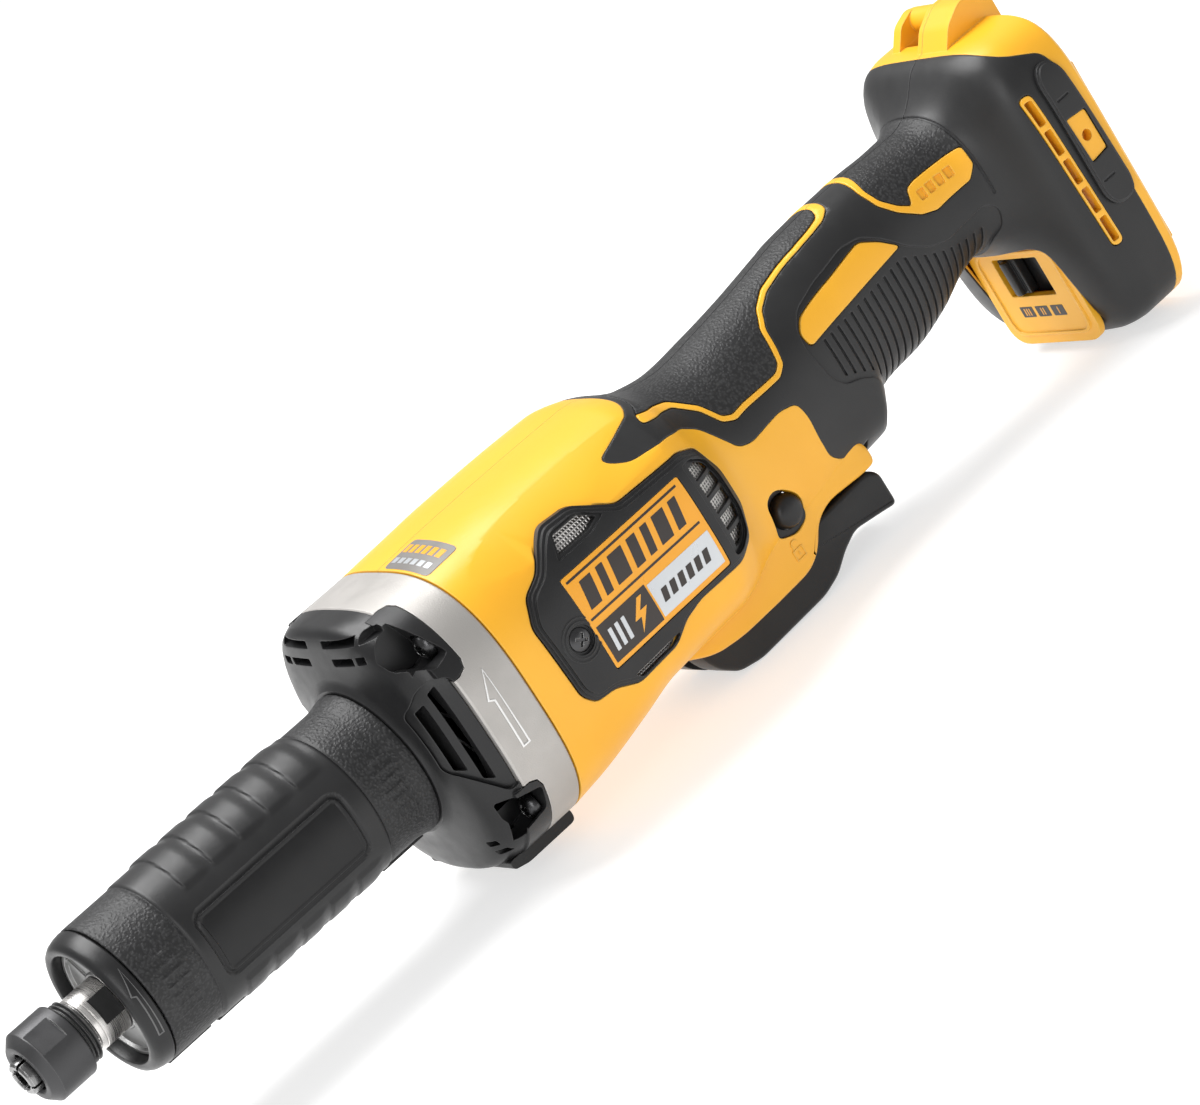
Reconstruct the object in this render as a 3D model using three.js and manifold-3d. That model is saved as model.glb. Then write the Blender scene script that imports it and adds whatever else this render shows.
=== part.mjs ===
// Cordless straight die grinder: a long nose barrel with a rubber grip and a collet at its tip,
// a brushless motor in a clamshell body, a slim handle with a lever trigger, and a foot at the
// rear that carries the battery rails. Millimetres, +X from nose to foot, +Z up. The pieces are
// laid out from the spindle axis and the front edge of the nose grip, then moved as one.

import * as THREE from 'three';
import { mergeVertices } from 'three/addons/utils/BufferGeometryUtils.js';
import Module from 'manifold-3d';

const wasm = await Module();
wasm.setup();

// ---------------------------------------------------------------- driving dimensions

const CLEARANCE = 0.3; // between neighbouring pieces
const COLLET_TIP = -33.5;
const NUT_FACE = -31;
const GRIP_LENGTH = 96.5;
const GRIP_RADIUS = 21.8;
const BARREL_RADIUS = 18.3;
const SPINDLE_RADIUS = 6;
const SHOULDER_RADIUS = 8.4; // the thick part of the spindle that carries the spanner flats
const SHOULDER_REAR = -2.8;
const FLAT_REACH = 7.4; // from the axis to a spanner flat
const FLAT_TURN = -0.36;
const SHAFT_RADIUS = 4;
const BEARING_RADIUS = 13.7;
const SHANK_BORE_RADIUS = 3; // 6 mm tool shanks
const MOTOR_HALF = 40.5; // half width of the collar and the motor body
const COLLAR_FRONT = 110;
const COLLAR_REAR = 126.6;
const EAR_REAR = 118;
const FAN_CHAMBER_RADIUS = 34;
const BODY_FRONT = COLLAR_REAR + CLEARANCE;
const FOOT_HALF = 37.5;
const SKIN_REAR = 369.8;
const BODY_REAR = 374.5;
const RAIL_REAR = 378.5;
const FOOT_BOTTOM = -46;
const FOOT_TOP = 50.5;
const SKIN_THICKNESS = 2;
const BODY_WALL = 3.2;
const HANDLE_WALL = 4.8; // skin and shell together
const TRIGGER_HALF = 13;
const TRIGGER_PIVOT = { x: 194, z: -34 };
const LOCK_CENTRE = { x: 228, z: -16 };
const COVER_SCREW = { x: 144.5, z: 4 };
const SOLE = -48; // lowest point, the underside of the trigger
const MIDDLE_X = (COLLET_TIP + RAIL_REAR) / 2;

const COLOURS = {
  yellow: 0xf0b02c,
  rubber: 0x3b3b3d,
  nylon: 0x2a2a2b,
  collar: 0xb8b3ac,
  steel: 0xc4c4c2,
  blackSteel: 0x2e2e30,
  copper: 0xb0662f,
  board: 0x1f5a3a,
};

// ---------------------------------------------------------------- solids from geometries

const tool = new THREE.Group();
tool.position.set(-MIDDLE_X, 0, -SOLE);

function solid(geometry) {
  const bare = geometry.clone();
  bare.deleteAttribute('normal');
  bare.deleteAttribute('uv');
  const merged = mergeVertices(bare, 1e-4);
  return new wasm.Manifold(new wasm.Mesh({
    numProp: 3,
    vertProperties: new Float32Array(merged.attributes.position.array),
    triVerts: new Uint32Array(merged.index.array),
  }));
}

function add(name, body, colour, roughness = 0.6, metalness = 0) {
  const mesh = body.getMesh();
  const geometry = new THREE.BufferGeometry();
  geometry.setAttribute('position', new THREE.BufferAttribute(mesh.vertProperties, 3));
  geometry.setIndex(new THREE.BufferAttribute(mesh.triVerts, 1));
  geometry.computeVertexNormals();
  const material = new THREE.MeshStandardMaterial({ color: colour, roughness, metalness });
  const node = new THREE.Mesh(geometry, material);
  node.name = name;
  tool.add(node);
}

function block(x0, x1, y0, y1, z0, z1) {
  const box = new THREE.BoxGeometry(x1 - x0, y1 - y0, z1 - z0);
  box.translate((x0 + x1) / 2, (y0 + y1) / 2, (z0 + z1) / 2);
  return solid(box);
}

// a profile of [radius, x] pairs turned about the spindle axis
function turned(profile, sides = 32) {
  const points = profile.map(([radius, x]) => new THREE.Vector2(radius, x));
  const lathe = new THREE.LatheGeometry(points, sides);
  lathe.rotateZ(-Math.PI / 2);
  return solid(lathe);
}

function ring(inner, outer, x0, x1, sides = 32) {
  return turned([[inner, x0], [outer, x0], [outer, x1], [inner, x1], [inner, x0]], sides);
}

function rod(radius, x0, x1, y, z, sides = 16) {
  const cylinder = new THREE.CylinderGeometry(radius, radius, x1 - x0, sides);
  cylinder.rotateZ(-Math.PI / 2);
  cylinder.translate((x0 + x1) / 2, y, z);
  return solid(cylinder);
}

function crossRod(radius, y0, y1, x, z, sides = 16) {
  const cylinder = new THREE.CylinderGeometry(radius, radius, y1 - y0, sides);
  cylinder.translate(x, (y0 + y1) / 2, z);
  return solid(cylinder);
}

function shapeOf(points) {
  return new THREE.Shape(points.map(([a, b]) => new THREE.Vector2(a, b)));
}

// a side outline of [x, z] pairs, extruded across the tool
function prism(points, y0, y1) {
  const geometry = new THREE.ExtrudeGeometry(shapeOf(points), { depth: y1 - y0, bevelEnabled: false });
  geometry.rotateX(Math.PI / 2);
  geometry.translate(0, y1, 0);
  return solid(geometry);
}

// a front outline of [y, z] pairs, extruded along the tool
function slab(points, x0, x1) {
  const geometry = new THREE.ExtrudeGeometry(shapeOf(points), { depth: x1 - x0, bevelEnabled: false });
  geometry.rotateX(Math.PI / 2);
  geometry.rotateZ(Math.PI / 2);
  geometry.translate(x0, 0, 0);
  return solid(geometry);
}

function roundedRectangle(a0, a1, b0, b1, radius, steps = 4) {
  const corners = [[a1, b1, 0], [a0, b1, 1], [a0, b0, 2], [a1, b0, 3]];
  const points = [];
  for (const [a, b, quarter] of corners) {
    const centreA = a + (a === a1 ? -radius : radius);
    const centreB = b + (b === b1 ? -radius : radius);
    for (let step = 0; step <= steps; step += 1) {
      const angle = (quarter + step / steps) * Math.PI / 2;
      points.push([centreA + radius * Math.cos(angle), centreB + radius * Math.sin(angle)]);
    }
  }
  return points;
}

// an outline moved outwards by a distance, corner by corner
function offsetOutline(points, distance) {
  const area = points.reduce((sum, [a, b], i) => {
    const [c, d] = points[(i + 1) % points.length];
    return sum + a * d - b * c;
  }, 0);
  const turn = Math.sign(area) * distance;
  return points.map(([a, b], i) => {
    const before = points[(i + points.length - 1) % points.length];
    const after = points[(i + 1) % points.length];
    const inward = new THREE.Vector2(a - before[0], b - before[1]).normalize();
    const outward = new THREE.Vector2(after[0] - a, after[1] - b).normalize();
    const normal = new THREE.Vector2(inward.y + outward.y, -inward.x - outward.x).normalize();
    const reach = turn / Math.max(0.4, normal.x * outward.y - normal.y * outward.x);
    return [a + normal.x * reach, b + normal.y * reach];
  });
}

// a skin over stations of [x, top, bottom, half width, squareness], each a rounded section
function loft(stations, sides = 24) {
  const geometry = new THREE.CylinderGeometry(1, 1, 1, sides, stations.length - 1);
  const position = geometry.attributes.position;
  for (let i = 0; i < position.count; i += 1) {
    const index = Math.round((position.getY(i) + 0.5) * (stations.length - 1));
    const [x, top, bottom, half, squareness] = stations[index];
    const across = -position.getX(i);
    const up = position.getZ(i);
    const squash = (value) => Math.sign(value) * Math.abs(value) ** (2 / squareness);
    const y = half * squash(across);
    const z = (top + bottom) / 2 + (top - bottom) / 2 * squash(up);
    position.setXYZ(i, x, y, z);
  }
  return solid(geometry);
}

function grow(stations, distance) {
  return stations.map(([x, top, bottom, half, squareness]) => {
    return [x, top + distance, bottom - distance, half + distance, squareness];
  });
}

const union = (bodies) => bodies.reduce((sum, body) => sum.add(body));

// ---------------------------------------------------------------- collet, nut and spindle

function colletNut() {
  const outside = turned([
    [0, NUT_FACE], [8.6, NUT_FACE], [11, NUT_FACE + 2.4], [11, -17], [0, -17],
  ], 24);
  const flats = [1, -1].map((side) => {
    const flat = new THREE.BoxGeometry(9, 6, 30);
    flat.translate(-24, side * 12.5, 0);
    flat.rotateX(-1);
    return solid(flat);
  });
  return outside
    .subtract(rod(5.5, NUT_FACE - 1, -26, 0, 0, 16))
    .subtract(rod(9.75, -27, -16, 0, 0, 20))
    .subtract(union(flats));
}

function collet() {
  const sleeve = turned([
    [SHANK_BORE_RADIUS, COLLET_TIP], [4.7, COLLET_TIP], [5.1, COLLET_TIP + 0.5], [5.1, -27],
    [5.8, -26.4], [5.8, -14.4], [SHANK_BORE_RADIUS, -14.4], [SHANK_BORE_RADIUS, COLLET_TIP],
  ], 16);
  const slots = [0, 1].map((turn) => {
    const slot = new THREE.BoxGeometry(14, 14, 0.9);
    slot.translate(COLLET_TIP + 6, 0, 0);
    slot.rotateX(turn * Math.PI / 2 + 0.4);
    return solid(slot);
  });
  return sleeve.subtract(union(slots));
}

function spindle() {
  const turnedSteel = turned([
    [0, 12], [3.4, 12], [3.4, -14], [6.1, -14], [6.1, -25], [9.4, -25], [9.4, -12.6],
    [SHOULDER_RADIUS, -12.6], [SHOULDER_RADIUS, SHOULDER_REAR],
    [SPINDLE_RADIUS, SHOULDER_REAR], [SPINDLE_RADIUS, 106], [0, 106],
  ], 20);
  const flats = [1, -1].map((side) => {
    const flat = new THREE.BoxGeometry(8, 3, 14);
    flat.translate(-5.2, side * (FLAT_REACH + 1.5), 0);
    flat.rotateX(FLAT_TURN);
    return solid(flat);
  });
  return turnedSteel.subtract(union(flats));
}

add('collet_nut', colletNut(), COLOURS.blackSteel, 0.4, 0.8);
add('collet', collet(), COLOURS.steel, 0.3, 1);
add('spindle', spindle(), COLOURS.steel, 0.2, 1);

// ---------------------------------------------------------------- nose cap, barrel and grip

add('nose_cap', turned([
  [17.6, -6], [19.2, -6], [20.6, -5], [GRIP_RADIUS - 0.3, -2.6], [GRIP_RADIUS, 0],
  [17.6, 0], [17.6, -6],
], 28), COLOURS.nylon, 0.45);

add('bearing_retainer', ring(6.6, 17.3, -1.4, 0, 24), COLOURS.steel, 0.4, 1);
add('front_bearing', ring(SPINDLE_RADIUS + CLEARANCE, BEARING_RADIUS, 1.8, 9.8, 16), COLOURS.steel, 0.3, 1);
add('rear_spindle_bearing', ring(SPINDLE_RADIUS + CLEARANCE, BEARING_RADIUS, 90, 98, 16), COLOURS.steel, 0.3, 1);

add('spindle_barrel', turned([
  [BEARING_RADIUS + CLEARANCE, 0.4], [BARREL_RADIUS, 0.4], [BARREL_RADIUS, 102], [9.9, 102], [9.9, 98.4],
  [BEARING_RADIUS + CLEARANCE, 98.4], [BEARING_RADIUS + CLEARANCE, 0.4],
], 24), COLOURS.collar, 0.5, 0.9);

add('front_grip', turned([
  [BARREL_RADIUS + CLEARANCE, 0.4], [GRIP_RADIUS, 0.4], [GRIP_RADIUS, 16], [GRIP_RADIUS + 0.5, 22],
  [GRIP_RADIUS + 0.5, 74], [GRIP_RADIUS + 0.4, 80], [GRIP_RADIUS + 0.7, GRIP_LENGTH - CLEARANCE],
  [BARREL_RADIUS + CLEARANCE, GRIP_LENGTH - CLEARANCE], [BARREL_RADIUS + CLEARANCE, 0.4],
], 28), COLOURS.rubber, 0.85);

// ---------------------------------------------------------------- front housing and collar

const SCREW_PLACES = [[-30, 27], [-30, -27], [30, 27], [30, -27]];
const MOTOR_SECTION = [MOTOR_HALF, -MOTOR_HALF, MOTOR_HALF, 2.9];

function earBlocks(margin, x0, x1) {
  return union(SCREW_PLACES.map(([y, z]) => {
    const y0 = Math.min(Math.sign(y) * (19 - margin), Math.sign(y) * 50);
    const z0 = Math.min(Math.sign(z) * (17 - margin), Math.sign(z) * 50);
    return block(x0, x1, y0, y0 + 31 + margin, z0, z0 + 33 + margin);
  }));
}

function frontHousing() {
  const bell = loft([
    [96.7, 24, -24, 24, 2], [98.4, 26, -26, 26, 2], [99.6, 30, -30, 30, 2.1],
    [100.6, 36, -36, 34.5, 2.4], [102, 40, -40, 37.5, 2.8], [105, MOTOR_HALF, -MOTOR_HALF, MOTOR_HALF, 2.9],
    [109.7, ...MOTOR_SECTION],
  ]);
  const ears = loft([[109, ...MOTOR_SECTION], [EAR_REAR, ...MOTOR_SECTION]])
    .intersect(earBlocks(0, 109, EAR_REAR));
  const bumper = slab(roundedRectangle(-21, 21, -43.3, -38, 2), 104, 126);
  const chamber = rod(FAN_CHAMBER_RADIUS, 106, 130, 0, 0, 32);
  const bore = rod(BARREL_RADIUS + CLEARANCE, 90, 110, 0, 0, 32);
  const pockets = union(SCREW_PLACES.map(([y, z]) => rod(5.4, 95, 114.2, y, z, 12)));
  const holes = union(SCREW_PLACES.map(([y, z]) => rod(2.5, 113, 130, y, z, 12)));
  const louvres = union([1, -1].flatMap((side) => [103.4, 107.2].map((x) => {
    const y0 = Math.min(side * 28, side * 45);
    return block(x - 1.1, x + 1.1, y0, y0 + 17, -12, 18);
  })));
  const frontVents = union([33, 38].map((z) => block(96, 108, -12, 12, z - 1, z + 1)));
  return bell.add(ears).add(bumper)
    .subtract(chamber).subtract(bore).subtract(pockets).subtract(holes)
    .subtract(louvres).subtract(frontVents);
}

function collar() {
  const outside = loft([[COLLAR_FRONT, ...MOTOR_SECTION], [COLLAR_REAR, ...MOTOR_SECTION]]);
  const holes = union(SCREW_PLACES.map(([y, z]) => rod(2.5, 100, 130, y, z, 12)));
  return outside
    .subtract(rod(FAN_CHAMBER_RADIUS, 100, 130, 0, 0, 32))
    .subtract(earBlocks(CLEARANCE, 100, EAR_REAR + CLEARANCE))
    .subtract(block(100, 130, -21.3, 21.3, -50, -37.7))
    .subtract(holes);
}

add('front_housing', frontHousing(), COLOURS.nylon, 0.55);
add('motor_collar', collar(), COLOURS.collar, 0.45, 0.6);

SCREW_PLACES.forEach(([y, z], i) => {
  const head = rod(4, 110.6, 113.9, y, z, 16);
  const socket = rod(1.9, 110, 112.4, y, z, 6);
  const shank = rod(2.1, 113.8, 141, y, z, 12);
  add(`front_screw_${i + 1}`, head.add(shank).subtract(socket), COLOURS.blackSteel, 0.35, 0.9);
});

// ---------------------------------------------------------------- motor and fan

const SHAFT_FIT = SHAFT_RADIUS + CLEARANCE;

function coolingFan() {
  const hub = ring(SHAFT_FIT, 10, 113, 123, 24);
  const plate = ring(9, 31, 121.5, 123, 36);
  const blades = Array.from({ length: 11 }, (_, i) => {
    const blade = new THREE.BoxGeometry(8.2, 18, 1.4);
    blade.rotateX(0.45);
    blade.translate(117.8, 20.5, 4);
    blade.rotateX(i * 2 * Math.PI / 11);
    return solid(blade);
  });
  return union([hub, plate, ...blades]);
}

add('shaft_coupling', turned([
  [SPINDLE_RADIUS + CLEARANCE, 102.4], [9.4, 102.4], [9.4, 112.4], [SHAFT_FIT, 112.4], [SHAFT_FIT, 106.4],
  [SPINDLE_RADIUS + CLEARANCE, 106.4], [SPINDLE_RADIUS + CLEARANCE, 102.4],
], 24), COLOURS.steel, 0.4, 1);
add('rotor_shaft', rod(SHAFT_RADIUS, 106.6, 203, 0, 0, 20), COLOURS.steel, 0.3, 1);
add('cooling_fan', coolingFan(), COLOURS.nylon, 0.6);
add('rotor_core', ring(SHAFT_FIT, 14.7, 146, 186, 16), COLOURS.steel, 0.5, 0.8);
add('fan_baffle', ring(11.5, 34.8, 128, 134, 24), COLOURS.nylon, 0.6);
add('motor_front_bearing', ring(SHAFT_FIT, 11.2, 128, 134.5, 16), COLOURS.steel, 0.3, 1);

function stator() {
  const core = ring(15.3, 27.6, 145, 187, 24);
  const slots = Array.from({ length: 6 }, (_, i) => {
    const slot = new THREE.BoxGeometry(44, 9, 3.4);
    slot.translate(166, 19, 0);
    slot.rotateX(i * Math.PI / 3);
    return solid(slot);
  });
  return core.subtract(union(slots));
}

add('motor_stator', stator(), COLOURS.steel, 0.5, 0.7);
add('winding_front', ring(16, 25.6, 137, 144.6, 20), COLOURS.copper, 0.4, 0.8);
add('winding_rear', ring(16, 25.6, 187.4, 193, 20), COLOURS.copper, 0.4, 0.8);
add('motor_end_frame', ring(9.5, 27.6, 194, 200, 24), COLOURS.nylon, 0.6);
add('motor_rear_bearing', ring(SHAFT_FIT, 9.2, 194, 200, 16), COLOURS.steel, 0.3, 1);

// ---------------------------------------------------------------- clamshell body and its skin

const BODY = [
  [BODY_FRONT, ...MOTOR_SECTION],
  [140, 41, -39, 40.3, 2.9], [158, 41.3, -35, 40, 3], [172, 41.3, -32, 39.7, 3],
  [198, 41, -31, 39, 2.9], [207, 39, -31, 36, 2.7], [213, 35.5, -31, 31.5, 2.5],
  [219, 32.8, -31, 28, 2.4], [231, 31, -31, 25, 2.3], [246, 32.2, -30, 22.5, 2.3],
  [260, 33.8, -27.5, 20.5, 2.3], [277, 36.4, -26, 19.2, 2.3], [282, 37.2, -17, 18.7, 2.3],
  [290, 37.8, -15.3, 18.4, 2.3], [301, 38.3, -14.6, 18.2, 2.3], [314, 38.5, -11.5, 18, 2.3],
  [326, 38, -6.5, 18, 2.3], [334, 38, -5, 19, 2.3], [340, 39.5, -8, 21.5, 2.5],
  [344.5, 42.5, -17, 26, 3], [347.5, 45.5, -30, 30.5, 3.6], [350.5, 48.3, -41, 34.5, 4.2],
  [355, 50, -45.2, 36.8, 4.8], [361, FOOT_TOP, FOOT_BOTTOM, FOOT_HALF, 5],
  [BODY_REAR, FOOT_TOP, FOOT_BOTTOM, FOOT_HALF, 5],
];

// side outline of the rubber that is moulded over the handle and the foot
const SKIN_OUTLINE = [
  [217, 70], [208, 39], [191, 37], [185, 33], [190, 28.5], [201, 27.5], [211, 24.5], [216.5, 18.5],
  [220.5, 12], [227, 9.5], [238, 10], [245, 7.5], [247, 1], [246.5, -9], [251, -15], [264, -18.5],
  [266.5, -40], [340, -70], [SKIN_REAR, -70], [SKIN_REAR, 70],
];

const VENT_X = [353.2, 357.4];
const VENT_Z = [-18, 33];
const PANEL_FACE = 347.6;
const PANEL_OUTLINE = roundedRectangle(-23.5, 23.5, -44.5, -11, 7);
const COVER_OUTLINE = [
  [137, -6], [136, 18], [139, 23], [146, 24.5], [151, 32], [154, 34], [166, 33.5], [176, 25.5],
  [203, 24], [209, 20], [213, 9], [212.5, -1], [208, -8], [200, -11], [182, -11.5], [176, -13],
  [170, -18.5], [155, -17], [147, -13.5], [141, -13],
];
const FILTER_OUTLINE = roundedRectangle(153, 207, -9, 21, 3, 2);

function guard() {
  const sides = [
    [168, -22], [176, -30], [187, -36.5], [199, -37.8], [229, -37.8], [235, -34], [239.5, -28.8],
    [246, -27], [262, -28.5], [266, -28], [265, -16], [250, -8], [190, -8],
  ];
  return prism(sides, -17, 17);
}

function lanyardLug() {
  const wedge = prism([
    [352, 49], [361, 55.5], [368, 58.6], [374, 58.6], [RAIL_REAR, 54], [RAIL_REAR, 44], [360, 44],
  ], -12, 2);
  const ear = prism([
    [358, 49], [364, 56], [370, 58], [375, 56.5], [376, 52], [376, 44], [360, 44],
  ], 13.5, 17);
  const notch = block(362, 380, 2, 13.5, 45.5, 60);
  const bar = crossRod(3.8, 1, 15, 371, 54);
  return { material: wedge.add(ear).add(bar), notch };
}

function batteryRails() {
  const rails = [1, -1].map((side) => {
    const web = [side * 26, side * 31].sort((a, b) => a - b);
    const lip = [side * 22, side * 31].sort((a, b) => a - b);
    return block(374, RAIL_REAR, web[0], web[1], -42, 34).add(block(376, RAIL_REAR, lip[0], lip[1], -42, 34));
  });
  const stop = slab(roundedRectangle(-31, 31, 38, 46, 3), 374, RAIL_REAR);
  return union([...rails, stop]);
}

function clamshell() {
  const outside = loft(BODY);
  const core = loft(grow(BODY, -SKIN_THICKNESS - CLEARANCE));
  const skinSpace = prism(offsetOutline(SKIN_OUTLINE, CLEARANCE), -60, 60);
  const hollow = loft(BODY.filter((station, i) => i % 2 === 0).map(([x, top, bottom, half, squareness]) => {
    const wall = x < 210 ? BODY_WALL : HANDLE_WALL;
    const place = x > BODY_FRONT ? Math.min(x, 368) : x - 1;
    return [place, top - wall, bottom + wall, half - wall, squareness];
  }), 20);
  const lug = lanyardLug();
  const bosses = union(SCREW_PLACES.map(([y, z]) => rod(5.2, BODY_FRONT + 0.1, 142, y, z, 12)))
    .intersect(outside);
  const holes = union(SCREW_PLACES.map(([y, z]) => rod(2.5, 120, 141.4, y, z, 12)));
  const triggerSlot = block(187, 267.6, -TRIGGER_HALF - 0.5, TRIGGER_HALF + 0.5, -60, -15);
  const lockHole = crossRod(6.4, -60, 60, LOCK_CENTRE.x, LOCK_CENTRE.z);
  const pinHole = crossRod(1.9, -16.7, 16.7, TRIGGER_PIVOT.x, TRIGGER_PIVOT.z, 12);
  const coverHole = crossRod(2.5, -60, 60, COVER_SCREW.x, COVER_SCREW.z, 12);
  const filterWindow = prism(offsetOutline(FILTER_OUTLINE, CLEARANCE), -60, 60);
  const coverSeat = prism(offsetOutline(COVER_OUTLINE, CLEARANCE), -60, 60)
    .subtract(loft(grow(BODY.slice(0, 10), -1)));
  const terminalWindow = block(360, 380, -18, 18, 3, 37);
  const panelSeat = slab(offsetOutline(PANEL_OUTLINE, CLEARANCE), 330, PANEL_FACE + 2.6);
  const speedWindow = block(345, 360, -13, 13, -29, -13);
  const ventCells = union([0, 1, 2, 3, 4].map((cell) => {
    return block(VENT_X[0] + 0.6, VENT_X[1] - 0.6, -60, 60, -16.5 + cell * 10, -9.5 + cell * 10);
  }));
  const guarded = outside.subtract(skinSpace.subtract(core)).add(guard().subtract(skinSpace));
  return guarded.add(lug.material).add(batteryRails())
    .subtract(hollow).add(bosses)
    .subtract(lug.notch.subtract(crossRod(3.8, 1, 15, 371, 54)))
    .subtract(union([holes, triggerSlot, pinHole, lockHole, coverHole, filterWindow, coverSeat, terminalWindow]))
    .subtract(union([panelSeat, speedWindow, ventCells]));
}

function gripSkin() {
  const sleeve = loft(BODY).subtract(loft(grow(BODY, -SKIN_THICKNESS)))
    .intersect(prism(SKIN_OUTLINE, -60, 60));
  const vents = prism(roundedRectangle(...VENT_X, ...VENT_Z, 2), -60, 60);
  const panelSeat = slab(offsetOutline(PANEL_OUTLINE, CLEARANCE), 330, 360);
  const lug = lanyardLug();
  const clear = prism([[350, 44], [350, 60], [382, 60], [382, 44]], -12.3, 17.3);
  const slot = block(187, 268, -TRIGGER_HALF - 0.5, TRIGGER_HALF + 0.5, -60, -15);
  return sleeve.subtract(union([vents, panelSeat, clear, slot])).subtract(lug.notch);
}

const SIDES = [['left', -1], ['right', 1]];
const shell = clamshell();
const skin = gripSkin();

for (const [side, sign] of SIDES) {
  const half = sign < 0 ? block(0, 400, -100, -0.15, -100, 100) : block(0, 400, 0.15, 100, -100, 100);
  add(`housing_${side}`, shell.intersect(half), COLOURS.yellow, 0.5);
  add(`grip_skin_${side}`, skin.intersect(half), COLOURS.rubber, 0.85);
}

// ---------------------------------------------------------------- side intake covers

function sideOf(sign, y0, y1) {
  return sign < 0 ? [-y1, -y0] : [y0, y1];
}

const LABEL_OUTLINE = [[150, -8], [195.5, -8], [195.5, 19.5], [150, 19.5]];
const motorPart = BODY.slice(0, 9);

function intakeCover(sign) {
  const plate = loft(grow(motorPart, 1.6)).subtract(loft(grow(motorPart, -0.7)))
    .intersect(prism(COVER_OUTLINE, ...sideOf(sign, 0, 60)));
  const recess = prism(offsetOutline(LABEL_OUTLINE, CLEARANCE), ...sideOf(sign, 0, 60))
    .subtract(loft(grow(motorPart, 0.4)));
  const upperVent = prism([[154, 26.5], [168, 26.5], [165, 31], [156, 31]], -60, 60);
  const lowerVent = prism([[153, -15.5], [168, -15.5], [172, -12.5], [158, -12.5]], -60, 60);
  const cells = union([-3, 2.5, 8, 13.5].map((z) => block(200, 207, -60, 60, z - 2, z + 2)));
  const screwHole = crossRod(2.5, -60, 60, COVER_SCREW.x, COVER_SCREW.z, 12);
  const headSeat = crossRod(4.6, ...sideOf(sign, 40.4, 60), COVER_SCREW.x, COVER_SCREW.z);
  return plate.subtract(union([recess, upperVent, lowerVent, cells, screwHole, headSeat]));
}

for (const [side, sign] of SIDES) {
  add(`intake_cover_${side}`, intakeCover(sign), COLOURS.nylon, 0.5);
  const label = loft(grow(motorPart, 1.9)).subtract(loft(grow(motorPart, 0.7)))
    .intersect(prism(LABEL_OUTLINE, ...sideOf(sign, 0, 60)));
  add(`cover_label_${side}`, label, COLOURS.yellow, 0.4);
  const filter = loft(grow(motorPart, -1.3)).subtract(loft(grow(motorPart, -2.6)))
    .intersect(prism(FILTER_OUTLINE, ...sideOf(sign, 0, 60)));
  add(`intake_filter_${side}`, filter, COLOURS.steel, 0.5, 0.6);
}

// ---------------------------------------------------------------- trigger and its pivot

function trigger() {
  const lever = prism([
    [188.4, -37], [191, -42], [196, -46.6], [204, SOLE], [231, -47], [238, -45], [244, -41],
    [250, -38.5], [260, -40], [266, -41], [266, -30], [262, -27], [240, -28], [232, -32],
    [200, -30.5], [192, -30.5], [188.4, -33],
  ], -TRIGGER_HALF, TRIGGER_HALF);
  const springGap = block(185, 199.5, -3.4, 3.4, -40.5, -25);
  const pinHole = crossRod(1.9, -20, 20, TRIGGER_PIVOT.x, TRIGGER_PIVOT.z, 12);
  return lever.subtract(springGap).subtract(pinHole);
}

function triggerSpring() {
  const path = new THREE.CatmullRomCurve3(Array.from({ length: 25 }, (_, i) => {
    const angle = i / 24 * 3 * 2 * Math.PI;
    return new THREE.Vector3(2.9 * Math.cos(angle), -2.2 + 4.4 * i / 24, 2.9 * Math.sin(angle));
  }));
  const wire = new THREE.Shape();
  wire.absarc(0, 0, 0.5, 0, 2 * Math.PI);
  const coil = new THREE.ExtrudeGeometry(wire, {
    steps: 27, extrudePath: path, bevelEnabled: false, curveSegments: 3,
  });
  coil.translate(TRIGGER_PIVOT.x, 0, TRIGGER_PIVOT.z);
  return solid(coil);
}

add('trigger', trigger(), COLOURS.nylon, 0.6);
add('trigger_pin', crossRod(1.55, -16.4, 16.4, TRIGGER_PIVOT.x, TRIGGER_PIVOT.z, 12), COLOURS.steel, 0.3, 1);
add('trigger_spring', triggerSpring(), COLOURS.steel, 0.4, 1);

// ---------------------------------------------------------------- switch and lock button

const PLUNGER = { x: 253, z: -16 };

const switchCase = block(238, 266, -8, 8, -14, 14)
  .subtract(block(PLUNGER.x - 2.6, PLUNGER.x + 2.6, -2.6, 2.6, -20, -1));
add('switch_module', switchCase, COLOURS.nylon, 0.5);
add('switch_plunger', block(PLUNGER.x - 2.2, PLUNGER.x + 2.2, -2.2, 2.2, -26.6, -11), COLOURS.nylon, 0.5);

const LOCK_RADIUS = 5.9;
const LOCK_ENDS = [-22.5, 28.5];
add('lock_button', crossRod(LOCK_RADIUS, ...LOCK_ENDS, LOCK_CENTRE.x, LOCK_CENTRE.z, 24), COLOURS.nylon, 0.5);

// ---------------------------------------------------------------- speed selector

const panelPlate = slab(PANEL_OUTLINE, PANEL_FACE, PANEL_FACE + 2.3)
  .subtract(block(340, 355, -10.5, 10.5, -27.5, -14.5));
add('speed_panel', panelPlate, COLOURS.yellow, 0.5);

const sliderKnob = block(348.2, 351.4, 1, 9, -27, -15).add(block(346.4, 348.4, 3.4, 6.6, -26.4, -15.6));
add('speed_slider', sliderKnob, COLOURS.nylon, 0.6);

// ---------------------------------------------------------------- electronics and battery contacts

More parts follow.
